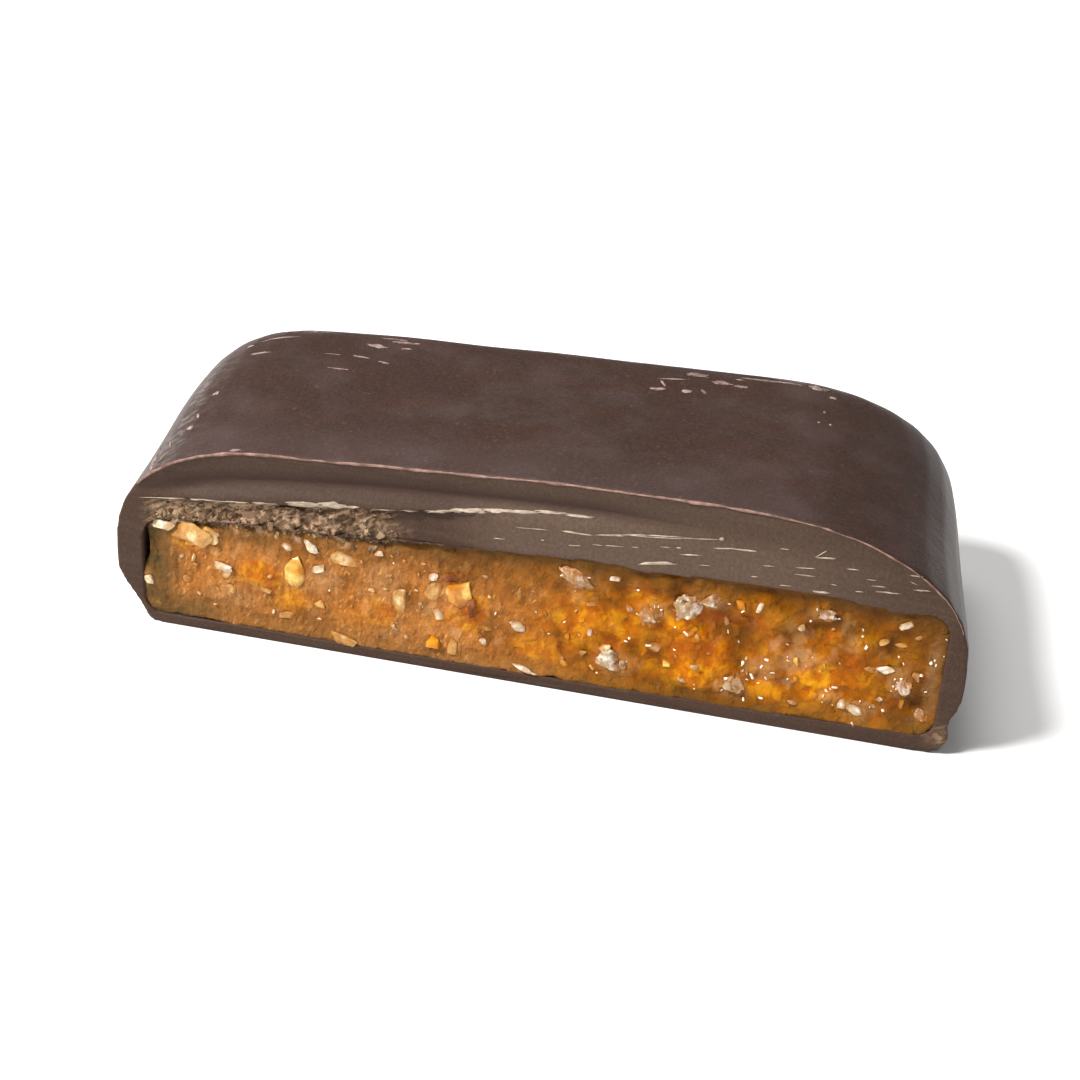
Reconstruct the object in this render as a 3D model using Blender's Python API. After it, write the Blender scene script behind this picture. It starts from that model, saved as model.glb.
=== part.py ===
"""Half of a chocolate-coated nut toffee bar, lying on its base after a lengthwise knife cut.

The bar is built the way it is made. A slab of nut toffee is dipped in dark chocolate, which
stands thick on top and thin underneath, and a knife then cuts the bar in two. One half stays.
Units are metres. +X runs along the bar, +Y from the cut towards the dipped back, +Z up.
"""

import math
import random

import bmesh
import bpy
from mathutils import Matrix, Vector, noise

MM = 0.001

# The dipped bar before the cut. Reaches are measured from the middle of the bar.
LEFT_REACH = 25.2 * MM
RIGHT_REACH = 24.3 * MM
HALF_WIDTH = 20.9 * MM
PLAN_SQUARENESS = 13.0
BULGE_HEIGHT = 4.8 * MM
BASE_TUCK = 1.95 * MM
TUCK_HEIGHT = 3.7 * MM
LEFT_SHOULDER = 12.2 * MM
LEFT_SHOULDER_AT_BACK = 9.8 * MM
RIGHT_SHOULDER = 15.0 * MM
RIGHT_SHOULDER_AT_BACK = 12.8 * MM
SIDE_SHOULDER = 3.6 * MM
SHOULDER_SQUARENESS = 2.45
CROWN_HEIGHT = 13.6 * MM
CROWN_AT = 9.3 * MM
LEFT_DROP = 1.2 * MM
LEFT_DROP_RUN = 22.3 * MM
BACK_DROP = 0.45 * MM
BACK_RUN = 16.0 * MM
SKIN_WAVE = 0.16 * MM
SKIN_WAVE_SIZE = 7.0 * MM

# The foot: chocolate that ran down and set as a bead round the base, faint at the left end.
FOOT_HEIGHT = 0.85 * MM
FOOT_THICKNESS = 0.9 * MM
FOOT_REACH_LEFT = 0.15 * MM
FOOT_REACH_RIGHT = 1.3 * MM
FOOT_REACH_SIDE = 0.7 * MM

# The toffee slab inside, and the room that its pocket in the chocolate keeps round it.
TOFFEE_LEFT = 23.2 * MM
TOFFEE_RIGHT = 22.7 * MM
TOFFEE_HALF_WIDTH = 18.2 * MM
TOFFEE_SQUARENESS = 9.0
TOFFEE_FLOOR_LEFT = 0.95 * MM
TOFFEE_FLOOR_RIGHT = 1.35 * MM
TOFFEE_TOP_LEFT = 7.15 * MM
TOFFEE_TOP_RIGHT = 8.95 * MM
TOFFEE_LUMP = 0.5 * MM
TOFFEE_LUMP_AT = -20.3 * MM
TOFFEE_EDGE_RADIUS = 0.8 * MM
POCKET_GAP = 0.3 * MM

# The knife cut. It runs slightly askew to the bar, so the right end stays wider.
CUT_ANGLE = math.radians(4.4)
CUT_WAVE = 0.10 * MM
GROOVE_DEPTH = 0.45 * MM
LEDGE_DEPTH = 0.8 * MM
LEDGE_DEPTH_AT_TOFFEE = 0.45 * MM
LEDGE_ROUGHNESS = 0.3 * MM
TOFFEE_DEPTH_LEFT = 0.4 * MM
TOFFEE_DEPTH_RIGHT = 0.15 * MM
TOFFEE_CUT_ROUGHNESS = 0.16 * MM

# Nut pieces that show in the cut: place along the cut, height, length, width and turn.
# These stand out in the cut; the small ones between them are scattered by a rule.
MAIN_NUTS = (
    (-20.8, 6.5, 2.8, 1.6, 5),
    (-18.7, 4.5, 1.3, 0.9, 3),
    (-18.3, 3.2, 0.8, 0.7, 50),
    (-14.2, 4.5, 1.1, 2.6, -5),
    (-14.6, 1.8, 1.1, 0.6, 6),
    (-11.3, 6.2, 1.8, 1.1, 0),
    (-11.5, 1.5, 1.8, 0.7, 5),
    (-8.0, 3.9, 0.8, 1.9, 3),
    (-5.9, 1.8, 0.8, 0.8, 0),
    (-4.6, 4.8, 1.8, 2.0, -17),
    (-0.8, 3.6, 1.1, 0.7, 33),
    (2.3, 7.3, 2.1, 1.2, 19),
    (4.8, 2.3, 2.2, 1.4, 9),
    (6.8, 6.1, 1.5, 1.0, -34),
    (8.8, 6.9, 1.9, 1.5, -15),
    (9.2, 3.4, 2.8, 2.7, 0),
    (11.7, 2.5, 1.1, 1.1, -9),
    (14.3, 4.1, 1.6, 1.8, 11),
    (16.9, 3.9, 3.2, 1.8, 0),
    (16.4, 7.5, 1.0, 0.8, 6),
    (18.7, 2.2, 1.2, 0.9, 29),
    (20.3, 4.7, 1.0, 0.6, -19),
    (20.6, 7.5, 0.9, 0.6, -47),
)
SCATTERED_NUTS = 18
NUT_SMALLEST = 0.6 * MM
NUT_LARGEST = 1.1 * MM
NUT_SPACING = 1.9 * MM
NUT_EDGE_MARGIN = 0.5 * MM
NUT_PROUD = 0.3
NUT_SEED = 11

# How finely the solids are faceted.
RING_POINTS = 132
SIDE_RINGS = 8
SHOULDER_RINGS = 9
TOP_RINGS = 4
SLAB_ROUNDING_RINGS = 2
CHOCOLATE_CELL = 0.5 * MM
TOFFEE_CELL = 0.62 * MM

CHOCOLATE_LOOK = ((0.045, 0.022, 0.014, 1.0), 0.38)
TOFFEE_LOOK = ((0.42, 0.17, 0.03, 1.0), 0.28)


def clear_scene():
    for old in list(bpy.data.objects):
        bpy.data.objects.remove(old, do_unlink=True)


def smooth_step(value):
    held = min(1.0, max(0.0, value))
    return held * held * (3.0 - 2.0 * held)


def between(start, end, share):
    return start + (end - start) * share


def rounded(share, squareness):
    """Height of a rounded corner at a share of its width: 1 in the middle, 0 at the edge."""
    return max(0.0, 1.0 - share**squareness) ** (1.0 / squareness)


def wave(point, size, seed):
    """Smooth unevenness between -1 and 1, with lumps about as far apart as size."""
    return noise.noise(point / size + Vector((seed, 2.0 * seed, 3.0 * seed)))


def backward(y):
    """How much of the change from the middle of the bar to its dipped back is done at y."""
    return smooth_step(y / BACK_RUN)


def crown(x, y):
    """Height of the bar's top: domed along the cut, level and a little lower at the back."""
    leftward = min(1.0, max(0.0, (CROWN_AT - x) / LEFT_DROP_RUN))
    front = CROWN_HEIGHT - LEFT_DROP * leftward**2
    return between(front, CROWN_HEIGHT - BACK_DROP, backward(y))


def plan_directions(squareness):
    """Points round a square-shouldered oval of reach 1, closer together at its four corners."""
    directions = []
    per_side = RING_POINTS // 4
    for side in range(4):
        for step in range(per_side):
            across = math.sin(1.2 * (2.0 * step / per_side - 1.0)) / math.sin(1.2)
            corner = Vector((1.0, across)) if side % 2 == 0 else Vector((-across, 1.0))
            if side >= 2:
                corner = -corner
            grown = abs(corner.x) ** squareness + abs(corner.y) ** squareness
            directions.append(corner / grown ** (1.0 / squareness))
    return directions


def ring(directions, ends_at, side, height_at):
    """One level as points round the bar, from its end reaches, side reach and heights."""
    points = []
    for along, across in directions:
        y = across * side
        left, right = ends_at(y)
        x = along * (right if along > 0.0 else left)
        points.append(Vector((x, y, height_at(x, y))))
    return points


def side_ring(directions, height, share=1.0):
    """A level of the side: tucked in under the bulge and out again at the foot."""
    tuck = BASE_TUCK * (1.0 - smooth_step(height / TUCK_HEIGHT))
    off_foot = (height - FOOT_HEIGHT) / FOOT_THICKNESS
    bead = math.exp(-off_foot * off_foot)
    left = share * (LEFT_REACH - tuck + FOOT_REACH_LEFT * bead)
    right = share * (RIGHT_REACH - tuck + FOOT_REACH_RIGHT * bead)
    side = share * (HALF_WIDTH - tuck + FOOT_REACH_SIDE * bead)
    return ring(directions, lambda y: (left, right), side, lambda x, y: height)


def top_ring(directions, inward, climb, share=1.0):
    """A level of the shoulder, drawn in by a share of its width, or, scaled down, of the top."""

    def ends_at(y):
        left = between(LEFT_SHOULDER, LEFT_SHOULDER_AT_BACK, backward(y))
        right = between(RIGHT_SHOULDER, RIGHT_SHOULDER_AT_BACK, backward(y))
        return share * (LEFT_REACH - left * inward), share * (RIGHT_REACH - right * inward)

    side = share * (HALF_WIDTH - SIDE_SHOULDER * inward)
    return ring(directions, ends_at, side, lambda x, y: between(BULGE_HEIGHT, crown(x, y), climb))


def bar_rings():
    """The dipped bar as rings, from the base's middle out, up the side and in over the top."""
    directions = plan_directions(PLAN_SQUARENESS)
    rings = [side_ring(directions, 0.0, share) for share in (0.35, 0.7)]
    for step in range(SIDE_RINGS + 1):
        rings.append(side_ring(directions, BULGE_HEIGHT * (step / SIDE_RINGS) ** 1.5))
    for step in range(1, SHOULDER_RINGS + 1):
        angle = 0.5 * math.pi * step / SHOULDER_RINGS
        inward = 1.0 - math.cos(angle) ** (2.0 / SHOULDER_SQUARENESS)
        climb = math.sin(angle) ** (2.0 / SHOULDER_SQUARENESS)
        rings.append(top_ring(directions, inward, climb))
    for step in range(TOP_RINGS - 1, 0, -1):
        rings.append(top_ring(directions, 1.0, 1.0, step / TOP_RINGS))
    return rings


def uneven(point):
    """The hand-dipped skin's slow waves. The base stays flat."""
    lift = smooth_step(point.z / FOOT_HEIGHT)
    outward = Vector((point.x / LEFT_REACH, point.y / HALF_WIDTH, point.z / CROWN_HEIGHT - 0.4))
    swell = SKIN_WAVE * wave(point, SKIN_WAVE_SIZE, 1.7)
    return point + outward.normalized() * swell * lift


def new_object(name, mesh_data, look=None):
    mesh = bpy.data.meshes.new(name)
    bmesh.ops.recalc_face_normals(mesh_data, faces=mesh_data.faces)
    mesh_data.to_mesh(mesh)
    mesh_data.free()
    made = bpy.data.objects.new(name, mesh)
    bpy.context.scene.collection.objects.link(made)
    if look is not None:
        made.data.materials.append(material(name, *look))
    return made


def material(name, colour, roughness):
    made = bpy.data.materials.new(name)
    made.use_nodes = True
    shader = made.node_tree.nodes["Principled BSDF"]
    shader.inputs["Base Color"].default_value = colour
    shader.inputs["Roughness"].default_value = roughness
    shader.inputs["Metallic"].default_value = 0.0
    return made


def loft(rings, first_centre, last_centre):
    """A closed mesh over rings of equal count, each end closed by a fan to its centre."""
    mesh_data = bmesh.new()
    loops = [[mesh_data.verts.new(point) for point in points] for points in rings]
    count = len(loops[0])
    for lower, upper in zip(loops, loops[1:]):
        for index in range(count):
            beside = (index + 1) % count
            mesh_data.faces.new((lower[index], lower[beside], upper[beside], upper[index]))
    for loop, centre in ((loops[0], first_centre), (loops[-1], last_centre)):
        hub = mesh_data.verts.new(centre)
        for index in range(count):
            mesh_data.faces.new((loop[index], loop[(index + 1) % count], hub))
    return mesh_data


def dipped_bar():
    rings = [[uneven(point) for point in points] for points in bar_rings()]
    top = uneven(Vector((0.0, 0.0, crown(0.0, 0.0))))
    body = loft(rings, Vector((0.0, 0.0, 0.0)), top)
    return new_object("chocolate_coating", body, CHOCOLATE_LOOK)


def toffee_floor(x):
    rightward = smooth_step((x - 6.0 * MM) / (14.0 * MM))
    return between(TOFFEE_FLOOR_LEFT, TOFFEE_FLOOR_RIGHT, rightward)


def toffee_top(x):
    """The slab thickens steadily to the right, over a nut that lifts it near the left end."""
    rightward = min(1.0, max(0.0, (x + 16.0 * MM) / (26.0 * MM)))
    end_drop = 0.7 * MM * smooth_step((abs(x) - 20.0 * MM) / (3.5 * MM))
    off_lump = (x - TOFFEE_LUMP_AT) / (2.0 * MM)
    lump = TOFFEE_LUMP * math.exp(-off_lump * off_lump)
    return between(TOFFEE_TOP_LEFT, TOFFEE_TOP_RIGHT, rightward) + lump - end_drop


def toffee_slab(name, grow, look=None):
    """The rounded slab, or, grown by the gap, the pocket that it sits in."""
    directions = plan_directions(TOFFEE_SQUARENESS)
    radius = TOFFEE_EDGE_RADIUS

    def level(inset, height_at):
        left, right, side = (
            reach + grow - inset for reach in (TOFFEE_LEFT, TOFFEE_RIGHT, TOFFEE_HALF_WIDTH)
        )
        return ring(directions, lambda y: (left, right), side, height_at)

    def floor_level(inset, lift):
        return level(inset, lambda x, y: toffee_floor(x) - grow + lift)

    def top_level(inset, lift):
        return level(inset, lambda x, y: toffee_top(x) + grow - lift)

    rounding = []
    for step in range(SLAB_ROUNDING_RINGS + 1):
        angle = 0.5 * math.pi * step / SLAB_ROUNDING_RINGS
        rounding.append((radius * (1.0 - math.sin(angle)), radius * (1.0 - math.cos(angle))))
    rings = [floor_level(0.5 * TOFFEE_HALF_WIDTH, 0.0)]
    rings += [floor_level(inset, lift) for inset, lift in rounding]
    rings += [top_level(inset, lift) for inset, lift in reversed(rounding)]
    rings += [top_level(share * TOFFEE_HALF_WIDTH, 0.0) for share in (0.35, 0.7)]
    bottom = Vector((0.0, 0.0, toffee_floor(0.0) - grow))
    top = Vector((0.0, 0.0, toffee_top(0.0) + grow))
    return new_object(name, loft(rings, bottom, top), look)


def groove_line(along):
    """Height of the dark groove that the knife pressed in under the top edge, left of centre."""
    share = max(0.0, (along + 22.5 * MM) / (34.5 * MM))
    return 9.5 * MM + 3.9 * MM * share**0.9


def ledge_line(along):
    """Height of the line under which the chocolate broke away at the left of the cut."""
    return 8.3 * MM + 3.0 * MM * smooth_step((along + 23.4 * MM) / (26.4 * MM))


def broken_ledge(along, height):
    """How deep the chocolate broke away at the left: deepest right under the smooth band."""
    below = ledge_line(along) - height
    run = ledge_line(along) - toffee_top(along)
    depth = between(LEDGE_DEPTH, LEDGE_DEPTH_AT_TOFFEE, smooth_step(below / run))
    depth += LEDGE_ROUGHNESS * wave(Vector((along, 0.0, height)), 1.3 * MM, 6.3)
    right_fade = 1.0 - smooth_step((along + 8.0 * MM) / (7.0 * MM))
    left_fade = smooth_step((along + 23.6 * MM) / (1.5 * MM))
    above_toffee = smooth_step((height - toffee_top(along) + 1.0 * MM) / (0.7 * MM))
    return depth * smooth_step(below / (0.5 * MM)) * right_fade * left_fade * above_toffee


def chocolate_cut(along, height):
    """How far the cut face of the chocolate lies behind the knife's plane."""
    depth = CUT_WAVE * wave(Vector((along, 0.0, height)), 9.0 * MM, 4.1)
    groove_fade = 1.0 - smooth_step((along - 2.0 * MM) / (10.0 * MM))
    off_groove = (height - groove_line(along)) / (0.9 * MM)
    groove = GROOVE_DEPTH * groove_fade * math.exp(-off_groove * off_groove)
    return depth + groove + broken_ledge(along, height)


def toffee_cut(along, height):
    """How far the cut face of the toffee lies behind the knife's plane: rougher to the right."""
    place = Vector((along, 0.0, height))
    rightward = smooth_step((along + 12.0 * MM) / (16.0 * MM))
    lumps = wave(place, 2.6 * MM, 8.7) + 0.5 * wave(place, 1.2 * MM, 9.9)
    depth = between(TOFFEE_DEPTH_LEFT, TOFFEE_DEPTH_RIGHT, rightward)
    return depth + between(0.55, 1.0, rightward) * TOFFEE_CUT_ROUGHNESS * lumps


def knife(name, depth_at, cell):
    """The waste side of the cut as a block, whose back face is the cut face of what stays."""
    reach = 31.0 * MM
    low, high = -3.0 * MM, 17.0 * MM
    front = -2.0 * HALF_WIDTH
    columns = round(2.0 * reach / cell)
    rows = round((high - low) / cell)
    mesh_data = bmesh.new()
    grid = []
    for column in range(columns + 1):
        along = between(-reach, reach, column / columns)
        heights = (between(low, high, row / rows) for row in range(rows + 1))
        grid.append(
            [mesh_data.verts.new((along, depth_at(along, height), height)) for height in heights]
        )
    for column in range(columns):
        for row in range(rows):
            near, far = grid[column], grid[column + 1]
            mesh_data.faces.new((near[row], far[row], far[row + 1], near[row + 1]))
    rim = [edge for edge in mesh_data.edges if edge.is_boundary]
    walls = bmesh.ops.extrude_edge_only(mesh_data, edges=rim)["geom"]
    for vertex in (item for item in walls if isinstance(item, bmesh.types.BMVert)):
        vertex.co.y = front
    open_edges = [edge for edge in mesh_data.edges if edge.is_boundary]
    bmesh.ops.holes_fill(mesh_data, edges=open_edges, sides=0)
    bmesh.ops.rotate(mesh_data, cent=(0.0, 0.0, 0.0), verts=mesh_data.verts,
                     matrix=Matrix.Rotation(-CUT_ANGLE, 3, "Z"))
    return new_object(name, mesh_data)


def apply_boolean(target, operation, other=None, group=None):
    step = target.modifiers.new(operation.lower(), "BOOLEAN")
    step.operation = operation
    step.solver = "EXACT"
    if group is not None:
        step.operand_type = "COLLECTION"
        step.collection = group
    else:
        step.object = other
    bpy.context.view_layer.objects.active = target
    bpy.ops.object.modifier_apply(modifier=step.name)
    for used in ([other] if group is None else list(group.objects)):
        bpy.data.objects.remove(used, do_unlink=True)


def split_evenly(solid):
    """Splits every face into well-shaped triangles, so that no flat face keeps a sliver."""
    mesh_data = bmesh.new()
    mesh_data.from_mesh(solid.data)
    bmesh.ops.triangulate(mesh_data, faces=mesh_data.faces, ngon_method="BEAUTY")
    mesh_data.to_mesh(solid.data)
    mesh_data.free()


def scattered_nuts():
    """Places and sizes of the nut pieces: the main ones, then a seeded scatter between them."""
    draw = random.Random(NUT_SEED)
    nuts = [tuple(size * MM for size in nut[:4]) + (nut[4],) for nut in MAIN_NUTS]
    tries = 0
    while len(nuts) < len(MAIN_NUTS) + SCATTERED_NUTS and tries < 4000:
        tries += 1
        size = between(NUT_SMALLEST, NUT_LARGEST, draw.random() ** 1.6)
        along = draw.uniform(-TOFFEE_LEFT, TOFFEE_RIGHT)
        margin = NUT_EDGE_MARGIN + 0.5 * size
        height = draw.uniform(toffee_floor(along) + margin, toffee_top(along) - margin)
        inside = -TOFFEE_LEFT + margin < along < TOFFEE_RIGHT - margin
        clear = all(math.hypot(along - n[0], height - n[1]) > NUT_SPACING for n in nuts)
        if inside and clear:
            nuts.append((along, height, size, size * draw.uniform(0.5, 0.9), draw.uniform(-90, 90)))
    return nuts


def nut_piece(index, along, height, length, width, turn, group):
    """One chopped nut: a chipped lump, half sunk in the cut face of the toffee."""
    draw = random.Random(NUT_SEED + 100 + index)
    mesh_data = bmesh.new()
    bmesh.ops.create_icosphere(mesh_data, subdivisions=1, radius=0.5)
    for vertex in mesh_data.verts:
        vertex.co *= draw.uniform(0.82, 1.12)
    thickness = 0.8 * min(length, width)
    sunk = toffee_cut(along, height) + (0.5 - NUT_PROUD) * thickness
    place = (
        Matrix.Translation((along, sunk, height))
        @ Matrix.Rotation(math.radians(turn), 4, "Y")
        @ Matrix.Diagonal((length, thickness, width, 1.0))
    )
    turned = Matrix.Rotation(-CUT_ANGLE, 4, "Z") @ place
    bmesh.ops.transform(mesh_data, matrix=turned, verts=mesh_data.verts)
    piece = new_object(f"nut_{index}", mesh_data)
    bpy.context.scene.collection.objects.unlink(piece)
    group.objects.link(piece)


def stand_on_middle(solids):
    """Moves the finished solids so that the origin lies under the middle of their box."""
    corners = [vertex.co for solid in solids for vertex in solid.data.vertices]
    low = Vector(tuple(min(corner[axis] for corner in corners) for axis in range(3)))
    high = Vector(tuple(max(corner[axis] for corner in corners) for axis in range(3)))
    shift = Vector((-0.5 * (low.x + high.x), -0.5 * (low.y + high.y), -low.z))
    for solid in solids:
        solid.data.transform(Matrix.Translation(shift))


def main():
    clear_scene()
    coating = dipped_bar()
    apply_boolean(coating, "DIFFERENCE", toffee_slab("pocket", POCKET_GAP))
    apply_boolean(coating, "DIFFERENCE", knife("chocolate_knife", chocolate_cut, CHOCOLATE_CELL))

    toffee = toffee_slab("toffee_filling", 0.0, TOFFEE_LOOK)
    apply_boolean(toffee, "DIFFERENCE", knife("toffee_knife", toffee_cut, TOFFEE_CELL))
    nuts = bpy.data.collections.new("nut_pieces")
    bpy.context.scene.collection.children.link(nuts)
    for index, nut in enumerate(scattered_nuts()):
        nut_piece(index, *nut, nuts)
    apply_boolean(toffee, "UNION", group=nuts)
    bpy.data.collections.remove(nuts)

    stand_on_middle((coating, toffee))
    for solid in (coating, toffee):
        split_evenly(solid)
        solid.data.shade_smooth()
        solid.data.set_sharp_from_angle(angle=math.radians(35))


main()
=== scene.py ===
"""Dresses the cut half of a chocolate-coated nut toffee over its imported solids.

Lengths below are in millimetres unless a name says otherwise; Blender and the frame work in metres.
A place on the cut is given as along (left to right), deep (behind the knife's plane) and high.
"""

import math
import random
from collections import namedtuple

import bpy
import numpy as np
from mathutils import Matrix, Vector, noise
from mathutils.bvhtree import BVHTree


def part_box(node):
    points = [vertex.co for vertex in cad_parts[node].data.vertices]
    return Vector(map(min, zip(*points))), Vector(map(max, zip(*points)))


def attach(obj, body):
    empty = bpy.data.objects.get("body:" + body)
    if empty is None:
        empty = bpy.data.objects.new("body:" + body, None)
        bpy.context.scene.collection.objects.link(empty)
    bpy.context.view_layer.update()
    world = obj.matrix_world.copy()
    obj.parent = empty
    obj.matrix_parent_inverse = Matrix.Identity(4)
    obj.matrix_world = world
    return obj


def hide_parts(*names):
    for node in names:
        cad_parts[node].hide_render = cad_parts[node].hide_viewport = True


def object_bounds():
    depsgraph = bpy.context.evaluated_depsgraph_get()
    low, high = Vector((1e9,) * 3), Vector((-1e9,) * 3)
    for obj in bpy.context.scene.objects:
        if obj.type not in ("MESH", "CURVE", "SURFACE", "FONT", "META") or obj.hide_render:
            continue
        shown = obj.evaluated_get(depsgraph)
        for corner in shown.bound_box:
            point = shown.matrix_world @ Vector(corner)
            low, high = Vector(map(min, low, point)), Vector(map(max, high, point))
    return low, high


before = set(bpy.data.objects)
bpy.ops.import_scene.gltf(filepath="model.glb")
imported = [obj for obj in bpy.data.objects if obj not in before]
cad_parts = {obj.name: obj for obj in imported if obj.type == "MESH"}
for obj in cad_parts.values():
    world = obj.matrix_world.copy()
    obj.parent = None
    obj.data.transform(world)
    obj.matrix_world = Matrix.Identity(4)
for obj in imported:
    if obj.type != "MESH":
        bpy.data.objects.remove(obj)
CAD_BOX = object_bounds()

bl_info = {
    "name": "Cut chocolate toffee",
    "version": (1, 0, 0),
    "blender": (4, 5, 0),
    "location": "3D View > Sidebar > Toffee",
    "description": "Models the looks of a cut chocolate-coated nut toffee on its solids",
    "category": "Object",
}

MM = 0.001
COATING_NODE = "chocolate_coating"
TOFFEE_NODE = "toffee_filling"

# The knife's plane in the row frame: the middle of the cut on the base, and its turn about up.
CUT_CENTRE = np.array((0.451, -9.568, 0.0))
CUT_TURN = math.radians(-4.4)
ALONG = np.array((math.cos(CUT_TURN), math.sin(CUT_TURN), 0.0))
DEEP = np.array((-math.sin(CUT_TURN), math.cos(CUT_TURN), 0.0))
HIGH = np.array((0.0, 0.0, 1.0))
CUT_AXES = np.stack((ALONG, DEEP, HIGH))

# Rays that look for a surface start at the depth RAY_START, or RUN_UP in front of a point.
RAY_START = -5.0
RUN_UP = 10.0
# The middle of the cut, from which its outline is looked for.
MIDDLE_HEIGHT = 5.0

# The chocolate: the copy is carried on past the knife's plane, smoothed and then sliced clean.
# The solid's front lies within FACE_DEPTH of the plane, and what lies behind DEEPEST_FACE after
# the dressing is no longer the cut.
VOXEL = 0.15
FACE_DEPTH = 1.35
FRONT_RUN = 3.0
SKIN_SMOOTHING = 22
SLICE_SMOOTHING = 4
PROUD_STOP = 0.04
DEEPEST_FACE = 1.6

# The shares of the faces that are kept where they are hidden, on the skin and behind the cut.
HIDDEN_KEPT, SKIN_KEPT, SLAB_KEPT = 0.04, 0.4, 0.08

# What the knife did to the chocolate, with the places along the cut where each starts and ends:
# a groove pressed in under the top edge, a recess where the chocolate broke away under a ledge,
# and the edge that was drawn down over the toffee.
GROOVE_DEPTH = 0.6
GROOVE_START, GROOVE_END = -24.6, 2.0
LEDGE_DEPTH = 0.42
LEDGE_DEPTH_AT_TOFFEE = 0.3
RECESS_START, RECESS_END = -24.0, -7.0
CRUMBS_END = -11.0
CRUMB_LEAN = -28.0
EDGE_DRAG = 0.36
DRAG_START, DRAG_END = 3.0, 20.5

# The toffee: the copy is trimmed to a flat front and built up again to its relief, which is
# dragged at the left and grows lumpy over LUMPY_RUN from LUMPY_START.
TRIM_DEPTH = 1.05
TOFFEE_GROWTH = 0.7
TOFFEE_ENDS = -23.2, 23.6
LUMPY_START, LUMPY_RUN = -10.0, 16.0
HAZE_START, HAZE_RUN = -6.0, 12.0

# Nut pieces that show in the cut: along, high, length, width, turn in degrees, kind, how proud.
NUTS = (
    (-20.9, 6.4, 3.5, 1.6, 12, "cream", 0.3),
    (-23.3, 2.85, 0.5, 0.5, 10, "white", 0.3),
    (-22.3, 6.6, 1.3, 0.55, -8, "white", 0.16),
    (-20.5, 5.7, 0.9, 0.5, 0, "golden", 0.1),
    (-18.8, 4.5, 1.2, 0.5, 3, "white", 0.2),
    (-18.5, 3.9, 0.5, 0.7, 10, "cream", 0.16),
    (-18.2, 3.1, 0.7, 0.45, 30, "cream", 0.14),
    (-20.9, 3.2, 0.7, 0.6, 21, "cream", 0.08),
    (-14.2, 4.5, 1.15, 2.6, -5, "golden", 0.32),
    (-11.3, 6.3, 1.7, 0.75, 0, "cream", 0.16),
    (-12.9, 5.3, 0.9, 0.4, -20, "white", 0.2),
    (-13.4, 6.8, 1.1, 0.5, 30, "white", 0.2),
    (-8.0, 3.9, 0.8, 1.9, 3, "cream", 0.26),
    (-11.6, 0.95, 2.4, 0.6, 5, "cream", 0.14),
    (-14.6, 1.8, 1.2, 0.6, 6, "cream", 0.1),
    (-4.4, 4.9, 1.5, 1.7, -17, "golden", 0.34),
    (-5.9, 5.2, 0.8, 1.5, 35, "cream", 0.3),
    (-6.0, 6.0, 0.7, 0.4, -20, "white", 0.2),
    (-4.7, 6.2, 1.3, 0.5, -5, "skin", 0.2),
    (-3.6, 4.4, 0.5, 1.2, -12, "skin", 0.16),
    (-5.9, 1.8, 0.8, 0.8, 0, "golden", 0.24),
    (-4.7, 1.7, 0.6, 1.2, -5, "cream", 0.22),
    (-0.8, 3.6, 1.15, 0.65, 33, "white", 0.2),
    (-2.9, 2.3, 0.4, 0.35, 20, "white", 0.16),
    (-0.5, 1.0, 1.5, 0.26, 8, "white", 0.14),
    (4.5, 7.85, 0.5, 0.3, 4, "white", 0.16),
    (-0.9, 5.9, 0.2, 0.8, 4, "cream", 0.14),
    (2.3, 7.5, 2.1, 1.2, 19, "cloudy", 0.16),
    (4.8, 2.4, 1.9, 1.3, 12, "cloudy", 0.3),
    (6.8, 6.1, 1.5, 1.0, -34, "cloudy", 0.12),
    (6.9, 3.7, 1.2, 0.7, -3, "cream", 0.06),
    (8.8, 6.9, 1.9, 1.5, -15, "cloudy", 0.34),
    (10.1, 7.5, 1.2, 0.7, -23, "cloudy", 0.26),
    (11.6, 7.4, 0.7, 0.7, 21, "golden", 0.16),
    (11.7, 2.3, 1.1, 1.25, -9, "cloudy", 0.26),
    (12.7, 7.55, 0.25, 0.6, 14, "white", 0.16),
    (16.4, 7.6, 1.0, 0.8, 6, "cloudy", 0.22),
    (17.9, 2.1, 0.5, 0.55, -4, "white", 0.2),
    (18.75, 1.8, 1.0, 0.55, 29, "white", 0.2),
    (19.6, 6.5, 0.65, 0.4, -21, "cream", 0.16),
    (20.0, 4.65, 0.9, 0.5, -19, "white", 0.22),
    (20.6, 7.8, 0.85, 0.4, -40, "white", 0.2),
    (20.6, 6.4, 0.6, 0.3, -15, "cream", 0.14),
    (21.0, 4.0, 1.1, 1.1, 1, "cloudy", 0.1),
    (22.3, 2.2, 0.8, 0.7, 0, "cloudy", 0.16),
)

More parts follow.
